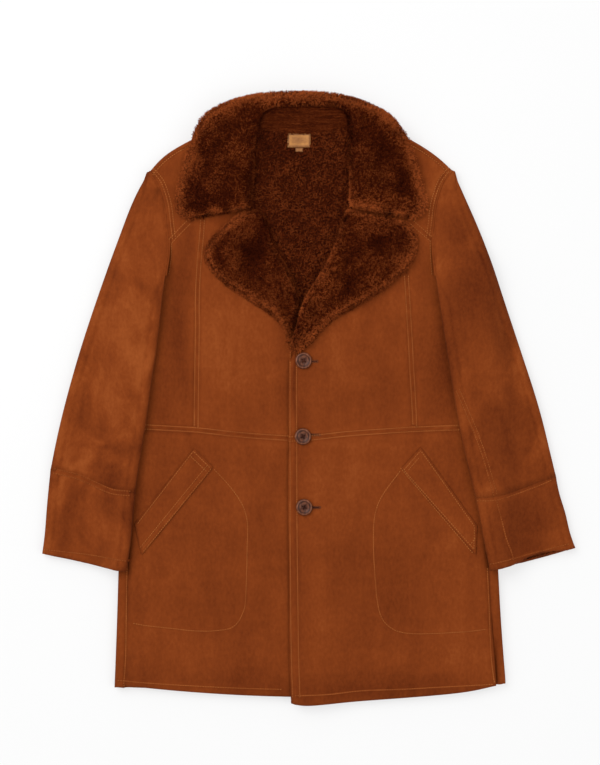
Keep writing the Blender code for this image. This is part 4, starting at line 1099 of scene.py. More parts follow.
@dataclass(frozen=True)
class Pile:
    """How a field of fibres grows; lengths in millimetres, leans in degrees.

    Fibres gather in clumps, swirl about their middles and flow in slow curves.
    """

    count: int
    length: float
    width: float
    start_lean: float
    end_lean: float
    tufts: int
    clump: float
    gather: float
    comb: Pair = (0.0, 0.0)
    # how strongly the clumps' painted light and shade show
    contrast: float = 0.08
    bend: float = 0.55
    foot: float = 0.8
    swirl: float = 0.9
    flow: float = 0.6
    flow_size: float = 0.034
    stray: float = 0.25

    def grow(self, places: Array, normals: Array, tint: Array,
             rng: Random) -> tuple[Array, list[Array], dict[str, Array]]:
        """Grows one bent, tapered blade from each place.

        Args:
            places: the roots, in metres.
            normals: the surface's normals there.
            tint: how light each fibre is, 0 to 1.
            rng: the random numbers.

        Returns:
            Vertices, faces and the values on the vertices.
        """
        count = len(places)
        toward, light = self.lean(places, normals, rng)
        aside = np.cross(normals, toward)
        lengths = self.length * MM * rng.uniform(0.7, 1.3, count)
        start = np.radians(self.start_lean * rng.uniform(0.6, 1.4, count))
        end = np.radians(self.end_lean * rng.uniform(0.75, 1.25, count))
        half = aside * (self.width * MM * rng.uniform(0.35, 0.65, count))[:, None]
        first = normals * np.cos(start)[:, None] + toward * np.sin(start)[:, None]
        second = normals * np.cos(end)[:, None] + toward * np.sin(end)[:, None]
        bend = places + first * (self.bend * lengths)[:, None]
        tip = bend + second * ((1.0 - self.bend) * lengths)[:, None]
        rows = [places - half * self.foot, places + half * self.foot,
                bend - half, bend + half, tip]
        base = np.arange(count)[:, None] * len(rows)
        tint = np.clip(tint + self.contrast * light, 0.0, 1.0)
        return (np.stack(rows, axis=1).reshape(-1, 3), [base + [0, 1, 3, 2], base + [2, 3, 4]],
                {"along": np.tile([0.0, 0.0, 0.6, 0.6, 1.0], count),
                 "tint": np.repeat(tint, len(rows))})

    def lean(self, places: Array, normals: Array, rng: Random) -> tuple[Array, Array]:
        """The way each fibre leans, and how light its clump's painted light and shade make it.

        Args:
            places: the roots, in metres.
            normals: the surface's normals there.
            rng: the random numbers.

        Returns:
            The unit way along the surface, and a value of about -1 to 1.
        """
        centres = places[rng.choice(len(places), self.tufts, replace=False)]
        tree = kdtree.KDTree(self.tufts)
        for index, centre in enumerate(centres):
            tree.insert(centre, index)
        tree.balance()
        found = [tree.find(place) for place in places]
        nearest = np.array([hit[1] for hit in found])
        far = np.array([hit[2] for hit in found]) / (self.clump * MM)
        own = rng.random(self.tufts)[nearest]
        pull = (centres[nearest] - places) / (self.clump * MM) * self.gather
        turned = np.where(own > 0.5, self.swirl, -self.swirl)[:, None]
        flow = np.stack([Waves(self.flow, self.flow_size, 30 + axis).at(places)
                         for axis in range(3)], axis=1)
        way = pull + np.cross(normals, pull) * turned + flow
        way += rng.normal(size=places.shape) * self.stray
        way[:, :2] += self.comb
        way -= normals * np.sum(way * normals, axis=1, keepdims=True)
        way /= np.maximum(np.linalg.norm(way, axis=1, keepdims=True), TINY)
        # a clump is painted lightest at its middle and darker towards its gaps, as painted light
        # and shade, and some clumps are lighter than others
        return way, 0.9 - 1.5 * np.minimum(far, 1.3) + 1.2 * (own - 0.5)


WOOL_LUMPS = (Waves(1.0, 0.019, 5), Waves(0.45, 0.0075, 6))
WOOL_NUBS = Waves(1.0, 0.0036, 7)
WOOL_PATCHES = Waves(0.10, 0.030, 8)


@dataclass
class WoolPiece:
    """A piece worn wool side out: a skin set in by the pile's depth, and its pile.

    Seen from the hub in the middle of the neck or the lapel, the skin's furthest points
    are its outer edge and its nearest points its inner one.
    """

    name: str
    node: str
    cut: Pair
    area: float
    pile: Pile
    rests_on: tuple[str, ...]
    inset: float = 4.6
    spread: float = 0.0
    low: float = 0.6
    hollows: tuple[Ridge, ...] = ()
    hub: Pair = (0.0, 330.0)
    lumps: float = 1.5
    nubs: float = 0.7
    base: float = 0.43
    # painted light at the outer edge, where light shines through the pile, and how wide
    rim_light: float = 0.0
    rim_width: float = 8.0
    # painted shade along the inner edge, under the roll, and how wide
    inner_painted_shade: float = 0.05
    inner_shade_width: float = 15.0
    # a painted highlight right on the inner edge, and how wide
    inner_painted_light: float = 0.26
    inner_light_width: float = 3.2
    hollow_height: float = 4.0
    # painted light and shade from the relief: lighter on the lumps, darker in the hollows
    relief_painted_light: float = 0.085
    speckle: float = 0.07
    sectors: int = 180
    edge: float = 3.0
    facing: float = -0.2
    seed: int = 1
    fine: int = 2

    def build(self, finishes: Finishes, wool: Material) -> Object:
        """Makes the skin and grows its wool.

        Args:
            finishes: the coat's materials.
            wool: the material of the wool.

        Returns:
            The skin.
        """
        rng = np.random.default_rng(SEED * 100 + self.seed)
        shell = Shell(self.name, (self.node,), self.fine)
        woolly = soft_step((shell.normals[:, 2] - self.facing) / 0.3)
        depth = self.relief(shell.points)
        shell.points += shell.normals * (woolly * (depth - self.inset) * MM)[:, None]
        shell.points[:, :2] += shell.normals[:, :2] * self.spread * MM
        shell.points[:, 2] = np.maximum(shell.points[:, 2], self.low * MM)
        # the skin takes the same painted light and shade, so that it shows lighter through gaps in
        # the pile
        tint = self.shade(shell, shell.points, rng)
        piece = shell.finished([wool, finishes.suede],
                               {"tint": 0.8 * tint, "along": 0.2 + 0.3 * tint,
                                "tone": np.full(len(tint), 0.42),
                                "brush": np.full(len(tint), 0.36)})
        under = shell.face_normals()[:, 2] < self.facing
        shell.paint(under, 1)
        keep = np.where(under, 0.0, 1.0)
        places, normals = shell.scatter(self.pile.count, keep, rng)
        tint = self.shade(shell, places, rng)
        places += normals * (self.nubs * WOOL_NUBS.at(places) * MM)[:, None]
        vertices, faces, values = self.pile.grow(places, normals, tint, rng)
        vertices[:, 2] = np.maximum(vertices[:, 2], self.low * MM)
        fur = object_from(self.name + "_wool", vertices, faces, [wool], values)
        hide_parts(self.node)
        belongs(Slot.WOOL, piece, fur)
        return piece

    def relief(self, points: Array) -> Array:
        """How far the wool's lumps and hollows stand at each place, in millimetres."""
        lumps = self.lumps * sum(lump.at(points) for lump in WOOL_LUMPS)
        return lumps + self.hollow_height * ridges_at(self.hollows, points)

    def shade(self, shell: Shell, places: Array, rng: Random) -> Array:
        """How light each fibre is painted: painted light at the outer edge, painted shade along
        the inner edge and in the hollows, painted highlights on the lumps.

        Args:
            shell: the skin.
            places: the roots, in metres.
            rng: the random numbers.

        Returns:
            A value for each fibre, 0 to 1.
        """
        spread = shell.points[:, :2] - np.array(plan_point(*self.hub))
        turn = np.arctan2(spread[:, 1], spread[:, 0])
        sector = ((turn / math.tau + 0.5) * self.sectors).astype(int) % self.sectors
        far = np.linalg.norm(spread, axis=1)
        most = np.zeros(self.sectors)
        np.maximum.at(most, sector, far)
        least = np.full(self.sectors, FAR)
        np.minimum.at(least, sector, far)
        outer = far > most[sector] - self.edge * MM
        inner = (far < least[sector] + self.edge * MM) & ~outer
        from_rim = plan_distance(shell.points[outer][::2], places)
        from_inner = plan_distance(shell.points[inner][::2], places)
        light = self.rim_light * bell(from_rim, 0.0, self.rim_width)
        light += self.inner_painted_light * bell(from_inner, 0.0, self.inner_light_width)
        light -= self.inner_painted_shade * bell(from_inner, 0.0, self.inner_shade_width)
        light += self.relief_painted_light * self.relief(places) + WOOL_PATCHES.at(places)
        light += rng.normal(size=len(places)) * self.speckle
        return np.clip(self.base + light, 0.0, 1.0)


# dents and swells of the collar's wool; through the relief they also bring painted shade into the
# dents and painted highlights onto the swells
COLLAR_HOLLOWS = (
    Ridge(-140, 308, 8, 34, 12, -0.80), Ridge(-146, 356, 50, 26, 12, -0.55),
    Ridge(-164, 384, 70, 30, 9, -0.45), Ridge(-108, 300, 14, 20, 8, -0.5),
    Ridge(-118, 404, 40, 26, 9, -0.4), Ridge(-176, 304, 4, 10, 8, 0.35),
    Ridge(-96, 336, 84, 30, 8, 0.10), Ridge(-128, 374, 30, 20, 9, 0.3),
    Ridge(137, 361, -56, 52, 12, -0.70), Ridge(152, 332, 80, 20, 9, -0.40),
    Ridge(112, 410, -40, 22, 9, -0.30), Ridge(104, 306, -8, 24, 8, -0.1),
    Ridge(156, 312, 20, 18, 9, -0.25), Ridge(124, 350, 76, 80, 44, 0.40),
    Ridge(0, 461, 0, 90, 9, 0.65), Ridge(60, 440, -40, 22, 8, -0.3),
)
# the same for the lapels: dents and swells, with their painted shade and highlights
LAPEL_HOLLOWS = (
    Ridge(-128, 216, -50, 14, 8, -1.0), Ridge(-78, 220, 80, 19, 14, -1.2),
    Ridge(-108, 244, 50, 12, 5, 0.4), Ridge(-64, 252, 84, 14, 6, -0.4),
    Ridge(-52, 176, -40, 22, 6, -0.4), Ridge(-30, 150, -50, 20, 5, -0.3),
    Ridge(120, 246, 20, 22, 13, -0.95), Ridge(76, 218, 50, 16, 10, -0.50),
    Ridge(72, 175, 60, 14, 8, -0.80), Ridge(52, 196, 40, 20, 7, -0.25),
    Ridge(104, 178, 38, 18, 12, 0.45), Ridge(36, 150, 48, 22, 5, -0.2),
    Ridge(120, 256, 10, 18, 6, 0.4), Ridge(112, 190, 38, 24, 6, 0.3),
    Ridge(-10, 132, 80, 30, 16, 0.35),
)
LINING_LUMPS = Waves(1.0, 0.013, 11)


@dataclass
class CurlyLining:
    """The coat's own wool inside the neck: small dense curls on the back."""

    name: str = "neck_lining_curls"
    count: int = 5900
    ring: float = 2.0
    strand: float = 0.95
    lean: float = 55.0
    turn: float = 240.0
    first_turn: float = -30.0
    rise: float = 0.25
    end_taper: float = 0.55
    stations: int = 6
    sides: int = 3
    lump_height: float = 1.1
    lift: Pair = (0.2, 1.0)
    tint: float = 0.47
    # painted highlight: lighter where the lumps stand higher
    lump_painted_light: float = 0.24
    tint_spread: float = 0.11
    # darker under the wearer's right side of the collar, from this far up
    shadow: float = 0.16
    shadow_up: float = 330.0
    shadow_ramp: float = 60.0
    tip_up: float = 1.4
    seed: int = 9
    outline: tuple[Pair, ...] = (
        (-84, 292), (-84, 330), (-80, 420), (-66, 423), (-40, 417), (0, 414), (40, 417),
        (66, 423), (78, 416), (78, 292), (74, 288), (64, 256), (48, 214), (24, 176), (8, 150),
        (2, 128), (-10, 122), (-14, 150), (-32, 184), (-54, 222), (-66, 262), (-76, 288),
    )
    bare: tuple[tuple[float, float, float, float], ...] = (
        (-24.6, 387.0, 12.6, 411.0), (-12.4, 380.0, 1.4, 389.0),
    )

    def build(self, finishes: Finishes, back: list[Object]) -> Object:
        """Curls the wool on the back's upper faces.

        Args:
            finishes: the coat's materials.
            back: the back's panels.

        Returns:
            The curls.
        """
        rng = np.random.default_rng(SEED * 100 + self.seed)
        line = np.array(self.outline, float)
        low, high = line.min(axis=0), line.max(axis=0)
        spots = low + rng.random((self.count * 2, 2)) * (high - low)
        spots = spots[self.inside(spots, line)]
        for left, bottom, right, top in self.bare:
            over = ((spots[:, 0] > left) & (spots[:, 0] < right)
                    & (spots[:, 1] > bottom) & (spots[:, 1] < top))
            spots = spots[~over]
        spots = spots[:self.count]
        ground = Ground(back)
        roots = np.array([ground.drop(x, y)[0] for x, y in spots])
        lumps = LINING_LUMPS.at(roots)
        roots[:, 2] += (self.lump_height * lumps + rng.uniform(*self.lift, len(roots))) * MM
        vertices, faces = self.curls(roots, rng)
        each = self.stations * self.sides
        stray = rng.normal(size=len(roots)) * self.tint_spread
        # painted highlight on the lumps, and random tone
        tint = np.clip(self.tint + self.lump_painted_light * lumps + stray, 0.0, 1.0)
        shaded = soft_step((roots[:, 1] / MM - self.shadow_up) / self.shadow_ramp)
        tint -= self.shadow * shaded * (roots[:, 0] < 0.0)
        # darker low in each curl: painted shade between the curls
        high = (vertices[:, 2] - np.repeat(roots[:, 2], each)) / (self.ring * self.tip_up * MM)
        values = {"tint": np.repeat(tint, each), "along": np.clip(high, 0.0, 1.0)}
        curls = object_from(self.name, vertices, faces, [finishes.lining], values)
        belongs(Slot.WOOL, curls)
        return curls

    @staticmethod
    def inside(spots: Array, line: Array) -> Array:
        """Whether each spot is inside a closed outline.

        Args:
            spots: the spots, one row each.
            line: the outline's corners.

        Returns:
            True for each spot inside.
        """
        found = np.zeros(len(spots), bool)
        for start, end in zip(line, np.roll(line, -1, axis=0)):
            crosses = (start[1] > spots[:, 1]) != (end[1] > spots[:, 1])
            rise = end[1] - start[1] if end[1] != start[1] else TINY
            at = start[0] + (spots[:, 1] - start[1]) / rise * (end[0] - start[0])
            found ^= crosses & (spots[:, 0] < at)
        return found

    def curls(self, roots: Array, rng: Random) -> tuple[Array, list[Array]]:
        """Bends a short strand over each root.

        Args:
            roots: the curls' middles, in metres.
            rng: the random numbers.

        Returns:
            Vertices and faces.
        """
        count = len(roots)
        turn = rng.random(count) * math.tau
        tilt = np.radians(rng.random(count) * self.lean)
        across = np.stack([np.cos(turn), np.sin(turn), np.zeros(count)], axis=1)
        aside = np.stack([-np.sin(turn), np.cos(turn), np.zeros(count)], axis=1)
        rise = aside * np.sin(tilt)[:, None]
        rise[:, 2] += np.cos(tilt)
        binormal = np.cross(across, rise)
        radius = self.ring * MM * rng.uniform(0.75, 1.25, count)
        thick = self.strand * MM * rng.uniform(0.8, 1.2, count)
        rings = []
        for station in range(self.stations):
            angle = math.radians(self.turn * station / (self.stations - 1) + self.first_turn)
            out = across * math.cos(angle) + rise * math.sin(angle)
            climb = (thick * station * self.rise)[:, None]
            middle = roots + out * radius[:, None] + binormal * climb
            taper = self.end_taper if station in (0, self.stations - 1) else 1.0
            for spin in np.arange(self.sides) * math.tau / self.sides:
                way = out * math.cos(spin) + binormal * math.sin(spin)
                rings.append(middle + way * (thick * taper)[:, None])
        return tubes(rings, self.sides, True)


# ------------------------------------------------------------------ things on the surface

SKY = 0.2                  # metres; higher than anything on the coat
WALL_HIGH = 0.008          # metres; one layer of the coat, where a thread hangs past an edge


class Ground:
    """The upper surface of some pieces, to lay small things on."""

    def __init__(self, pieces: list[Object]) -> None:
        """Reads the surface of the pieces."""
        self.tree = surface_tree([piece.data for piece in pieces])

    def drop(self, x: float, y: float) -> tuple[Array, Array]:
        """The highest point and its normal at a place of the tables, in metres.

        Args:
            x: the place to the left of the button line, in millimetres.
            y: the place up, in millimetres.

        Returns:
            The point and the normal.
        """
        at = Vector((*plan_point(x, y), SKY))
        spot, normal, _, _ = self.tree.ray_cast(at, DOWN)
        if spot is None:
            return np.array([at.x, at.y, WALL_HIGH]), np.array([0.0, 0.0, 1.0])
        return np.array(spot), np.array(normal)


@dataclass(frozen=True)
class Seam:
    """Rows of topstitching beside a line; offsets are to the line's left."""

    points: tuple[Pair, ...]
    offsets: tuple[float, ...] = (0.0,)
    smooth: bool = True
    sewn: bool = True
    # sinks the band's middle and darkens it there with painted shade
    groove: float = 0.0

    def course(self, step: float) -> tuple[Array, Array]:
        """Its line at even steps and the ways to its left, in the tables' millimetres.

        Args:
            step: distance between the points.

        Returns:
            Points and ways, one row each.
        """
        if self.smooth:
            line = smooth_line(list(self.points), step)
        else:
            parts = [smooth_line([a, b], step) for a, b in zip(self.points, self.points[1:])]
            line = np.vstack(parts)
        way = np.gradient(line, axis=0)
        way /= np.maximum(np.linalg.norm(way, axis=1, keepdims=True), TINY)
        return line, np.stack([-way[:, 1], way[:, 0]], axis=1)


ARMHOLES = (
    Seam(((-236, 352), (-222, 336), (-214, 316), (-209, 296), (-206, 269), (-203, 246)),
         (1.8, 6.4)),
    Seam(((230, 353), (216, 336), (208, 316), (203, 296), (200, 269), (197, 248)),
         (-1.8, -6.4)),
    Seam(((-205, 240), (-206, 218), (-210, 190)), (2.4,)),
    Seam(((199, 241), (200, 218), (202, 190)), (-2.4,)),
)
JOINS = (
    Seam(((-239, 352), (-226, 336), (-218, 316), (-213, 296), (-210, 269), (-207, 243),
          (-208, 218), (-212, 190)), (-0.6, 0.6), sewn=False),
    Seam(((233, 353), (218, 336), (211, 316), (206, 296), (203, 269), (201, 245),
          (202, 218), (205, 190)), (-0.6, 0.6), sewn=False),
)
BODY_SEAMS = ARMHOLES + (
    # yokes
    Seam(((-204, 243), (-190, 258), (-174, 274)), (-2.6, 4.4)),
    Seam(((199, 245), (184, 258), (168, 272)), (2.6, -4.4)),
    # shoulder edges
    Seam(((-232, 346), (-216, 364), (-198, 378), (-172, 392), (-160, 397)), (0.0,)),
    Seam(((226, 346), (211, 362), (190, 378), (170, 390), (158, 396)), (0.0,)),
    # upright seams, down to the waist
    Seam(((-155, 276), (-157, 246), (-160, 214), (-163, 160), (-163, 107), (-164, 40),
          (-165, -44)), (-3.0, 3.0)),
    Seam(((160, 190), (163, 140), (166, 90), (168, 50), (171, 0), (173, -43)), (-3.0, 3.0)),
    # waist
    Seam(((-252, -43), (-200, -46), (-165, -48), (-91, -56), (-21, -61)), (-3.4, 3.4)),
    Seam(((-21, -62), (13, -60), (58, -55), (94, -52), (140, -49), (173, -47), (256, -44)),
         (-3.4, 3.4)),
    # the opening: along the edge and along its facing
    Seam(((-19.0, 84), (-19.5, 45), (-19.5, -60), (-19.5, -200), (-18.5, -330), (-17.5, -400),
          (-15.5, -462)), (0.0,)),
    Seam(((-8.5, 96), (-9.5, 45), (-9.5, -60), (-9.0, -200), (-7.5, -330), (-6.5, -400),
          (-4.5, -462)), (0.0,)),
    # hem
    Seam(((-286, -435), (-230, -440), (-180, -443), (-100, -447), (-32, -449)), (0.0,)),
    Seam(((-12, -458), (40, -456), (92, -451), (150, -449), (205, -446), (263, -443),
          (296, -441)), (0.0,)),
    # side seams
    Seam(((-272, -262), (-273, -330), (-274, -400), (-277, -445)), (0.0,)),
    Seam(((285, -262), (288, -330), (291, -400), (296, -440)), (0.0,)),
    # beside the roll line on the left front, under the lapel
    Seam(((-3, 112), (10, 124), (24, 136)), (0.0,)),
)
POCKET_SEAMS = (
    Seam(((-137, -109), (-114, -134), (-94, -163), (-86, -190), (-86, -225), (-88, -300),
          (-91, -326), (-106, -351), (-132, -358), (-168, -358.5), (-201, -355), (-246, -350),
          (-262, -347)), (0.0,)),
    Seam(((150, -112), (123, -149), (112, -176), (109, -211), (111, -270), (117, -324),
          (126, -345), (145, -358.5), (174, -363), (249, -360), (284, -356)), (0.0,)),
)
WELT_SEAMS = (
    Seam(((-144, -106), (-169, -81), (-257, -195)), (0.0,), False),
    Seam(((-149, -112), (-174, -88)), (0.0,), False),
    Seam(((-142, -108), (-248, -238)), (0.0,), False),
    Seam(((-148, -103), (-252, -231)), (0.0,), False),
    Seam(((-144, -104), (-251, -236)), (1.4,), False, False, 0.22),
    Seam(((-170, -75), (-262, -194)), (0.0,), False, False, 0.14),
    Seam(((156, -110), (182, -80), (265, -197), (264, -232), (156, -110)), (0.0,), False),
    Seam(((163, -110), (180, -90)), (0.0,), False),
    Seam(((151, -107), (263, -239)), (0.0,), False),
    Seam(((258, -226), (267, -213)), (0.0,), False),
    Seam(((184, -72), (271, -195)), (0.0,), False, False, 0.26),
)
SLEEVE_SEAMS = (
    Seam(((-385, -112), (-348, -121), (-315, -135), (-294, -143), (-264, -146)), (-2.8, 4.0)),
    Seam(((268, -154), (297, -153), (326, -145), (360, -133), (384, -123)), (-2.8,)),
    Seam(((-400, -233), (-328, -241), (-266, -250)), (0.0,)),
    Seam(((238, 14), (250, -14), (262, -42), (276, -80), (287, -116), (296, -148)),
         (-2.6, 2.6)),
    Seam(((298, -158), (306, -188), (314, -218), (322, -238), (325, -250)), (0.0,)),
    Seam(((288, -254), (325, -246), (372, -234), (412, -224)), (0.0,)),
)
BAND_PUCKER = Waves(1.0, 0.0045, 50)


@dataclass
class SeamBands:
    """The soft raised seam allowances that show under the topstitching, with painted highlights on
    their ridges and painted shade in their grooves.
    """

    step: float = 2.2
    reach: float = 1.7
    ridge: float = 0.55
    groove: float = -0.05
    foot: float = -0.30
    side: float = 0.8
    # across a band the floor keeps near the height that this percentage of it lies under
    level: float = 75.0
    drop: float = 0.9
    climb: float = 1.2
    fade: float = 3.0
    puckered: float = 0.5
    # a painted highlight where a band puckers up
    pucker_painted_light: float = 0.10
    brush: float = 0.35

    def build(self, name: str, seams: tuple[Seam, ...], ground: Ground,
              suede: Material) -> Object:
        """Lays a band under every row or pair of rows of stitches.

        Args:
            name: the piece's name.
            seams: the stitched lines.
            ground: what they lie on.
            suede: the bands' material.

        Returns:
            The bands, as one piece.
        """
        rows: list[Array] = []
        quads: list[Array] = []
        tones: list[Array] = []
        start = 0
        for seam in seams:
            line, across = seam.course(self.step)
            spots, heights, tone = self.profile(seam)
            grid = line[:, None, :] + across[:, None, :] * spots[None, :, None]
            floor = np.array([[ground.drop(x, y)[0][2] for x, y in row] for row in grid])
            middle = np.percentile(floor, self.level, axis=1, keepdims=True)
            floor = np.clip(floor, middle - self.drop * MM, middle + self.climb * MM)
            flat = (grid.reshape(-1, 2) + (LINE_X, 0.0)) * MM
            flat = np.column_stack([flat, np.zeros(len(flat))])
            pucker = BAND_PUCKER.at(flat).reshape(floor.shape)
            ends = np.minimum(np.arange(len(line)), np.arange(len(line))[::-1])
            fade = soft_step(ends / self.fade)[:, None]
            lift = (heights * (1.0 + self.puckered * pucker) - self.foot) * fade + self.foot
            flat[:, 2] = (floor + lift * MM).ravel()
            rows.append(flat)
            # painted highlight where the band puckers up
            tones.append(np.tile(tone, len(line)) + self.pucker_painted_light * pucker.ravel())
            index = start + np.arange(len(flat)).reshape(floor.shape)
            quads.append(np.stack([index[:-1, :-1], index[1:, :-1], index[1:, 1:],
                                   index[:-1, 1:]], axis=-1).reshape(-1, 4))
            start += len(flat)
        tone = np.concatenate(tones)
        faces = np.concatenate(quads)
        points = np.concatenate(rows)
        normal = np.cross(points[faces[:, 1]] - points[faces[:, 0]],
                          points[faces[:, 2]] - points[faces[:, 0]])
        faces = np.where(normal[:, 2:] < 0.0, faces[:, ::-1], faces)
        band = object_from(name, points, [faces], [suede],
                           {"tone": tone, "brush": np.full(len(tone), self.brush)})
        belongs(Slot.SUEDE, band)
        return band

    def profile(self, seam: Seam) -> tuple[Array, Array, Array]:
        """A band's section: places across, heights and tones; the tones are painted highlights on
        the raised parts and painted shade in the grooves.

        Args:
            seam: the seam that it covers.

        Returns:
            Three rows of equal length.
        """
        low, high = min(seam.offsets), max(seam.offsets)
        if low == high:
            spots = [low - self.reach, low - self.side, low, low + self.side, low + self.reach]
            heights = [self.foot, 0.22, self.groove - 0.8 * seam.groove, 0.22, self.foot]
            tones = [0.43, 0.54, 0.44 - seam.groove, 0.54, 0.43]
        else:
            middle = (low + high) / 2
            part = (high - low) / 4
            spots = [low - self.reach, low - self.side, low, middle - part, middle,
                     middle + part, high, high + self.side, high + self.reach]
            heights = [self.foot, 0.25, self.groove, self.ridge, self.ridge * 0.75, self.ridge,
                       self.groove, 0.25, self.foot]
            tones = [0.43, 0.54, 0.48, 0.44, 0.38, 0.44, 0.48, 0.54, 0.43]
        return np.array(spots), np.array(heights), np.array(tones)


@dataclass
class Stitching:
    """Topstitching, each stitch a thread of its own laid on the suede."""

    length: float = 2.1
    space: float = 1.75
    radius: float = 0.64
    sink: float = 0.20
    step_up: float = 2.2

    def build(self, name: str, seams: tuple[Seam, ...], ground: Ground,
              thread: Material, rng: Random) -> Object:
        """Sews rows of stitches.

        Args:
            name: the piece's name.
            seams: the lines to sew along.
            ground: what they are sewn on.
            thread: the thread's material.
            rng: the random numbers.

        Returns:
            The stitches, as one piece.
        """
        starts: list[Array] = []
        ends: list[Array] = []
        for seam in seams:
            for offset in seam.offsets if seam.sewn else ():
                self.row(seam, offset, ground, starts, ends, rng)
        vertices, faces = spindles(np.array(starts), np.array(ends), self.radius * MM)
        piece = object_from(name, vertices, faces, [thread])
        belongs(Slot.SUEDE, piece)
        return piece

    def row(self, seam: Seam, offset: float, ground: Ground, starts: list[Array],
            ends: list[Array], rng: Random) -> None:
        """Adds the ends of one row's stitches to the lists.

        Args:
            seam: the line to sew beside.
            offset: the row's distance to the left of it, in millimetres.
            ground: what it is sewn on.
            starts: gets one end of each stitch.
            ends: gets the other end.
            rng: the random numbers.
        """
        line, across = seam.course(0.5)
        line = line + across * offset
        lengths = np.concatenate([[0], np.cumsum(np.linalg.norm(np.diff(line, axis=0), axis=1))])
        place = 0.0
        while place + self.length < lengths[-1]:
            reach = self.length * rng.uniform(0.92, 1.08)
            pair = []
            for at in (place, place + reach):
                x = np.interp(at, lengths, line[:, 0])
                y = np.interp(at, lengths, line[:, 1])
                pair.append(ground.drop(x, y))
            place += reach + self.space
            if abs(pair[0][0][2] - pair[1][0][2]) > self.step_up * MM:
                continue
            lift = (self.radius - self.sink) * MM
            starts.append(pair[0][0] + pair[0][1] * lift)
            ends.append(pair[1][0] + pair[1][1] * lift)


# where along a stitch, how thick there and how far down, in radii
THREAD_STATIONS = ((0.0, 0.45, -0.6), (0.16, 1.0, 0.0), (0.84, 1.0, 0.0), (1.0, 0.45, -0.6))


def spindles(starts: Array, ends: Array, radius: float, sides: int = 5,
             bow: float = 0.35) -> tuple[Array, list[Array]]:
    """Makes short rounded threads.

    Args:
        starts: one end of each, in metres.
        ends: the other ends.
        radius: the threads' radius.
        sides: corners around a thread.
        bow: how far the middle stands up, in radii.

    Returns:
        Vertices and faces.
    """
    way = ends - starts
    long = np.linalg.norm(way, axis=1, keepdims=True)
    way = way / np.maximum(long, TINY)
    aside = np.cross(way, [0.0, 0.0, 1.0])
    aside /= np.maximum(np.linalg.norm(aside, axis=1, keepdims=True), TINY)
    rise = np.cross(aside, way)
    rings = []
    for part, thick, drop in THREAD_STATIONS:
        middle = starts + way * long * part + rise * radius * (drop + bow)
        for spin in np.arange(sides) * math.tau / sides:
            rings.append(middle + (aside * math.cos(spin) + rise * math.sin(spin))
                         * radius * thick)
    return tubes(rings, sides, False)


DRILL = 12.0               # millimetres; longer than a button is thick
DRILL_SIDES = 16
BUTTON_SHARP = math.radians(38.0)


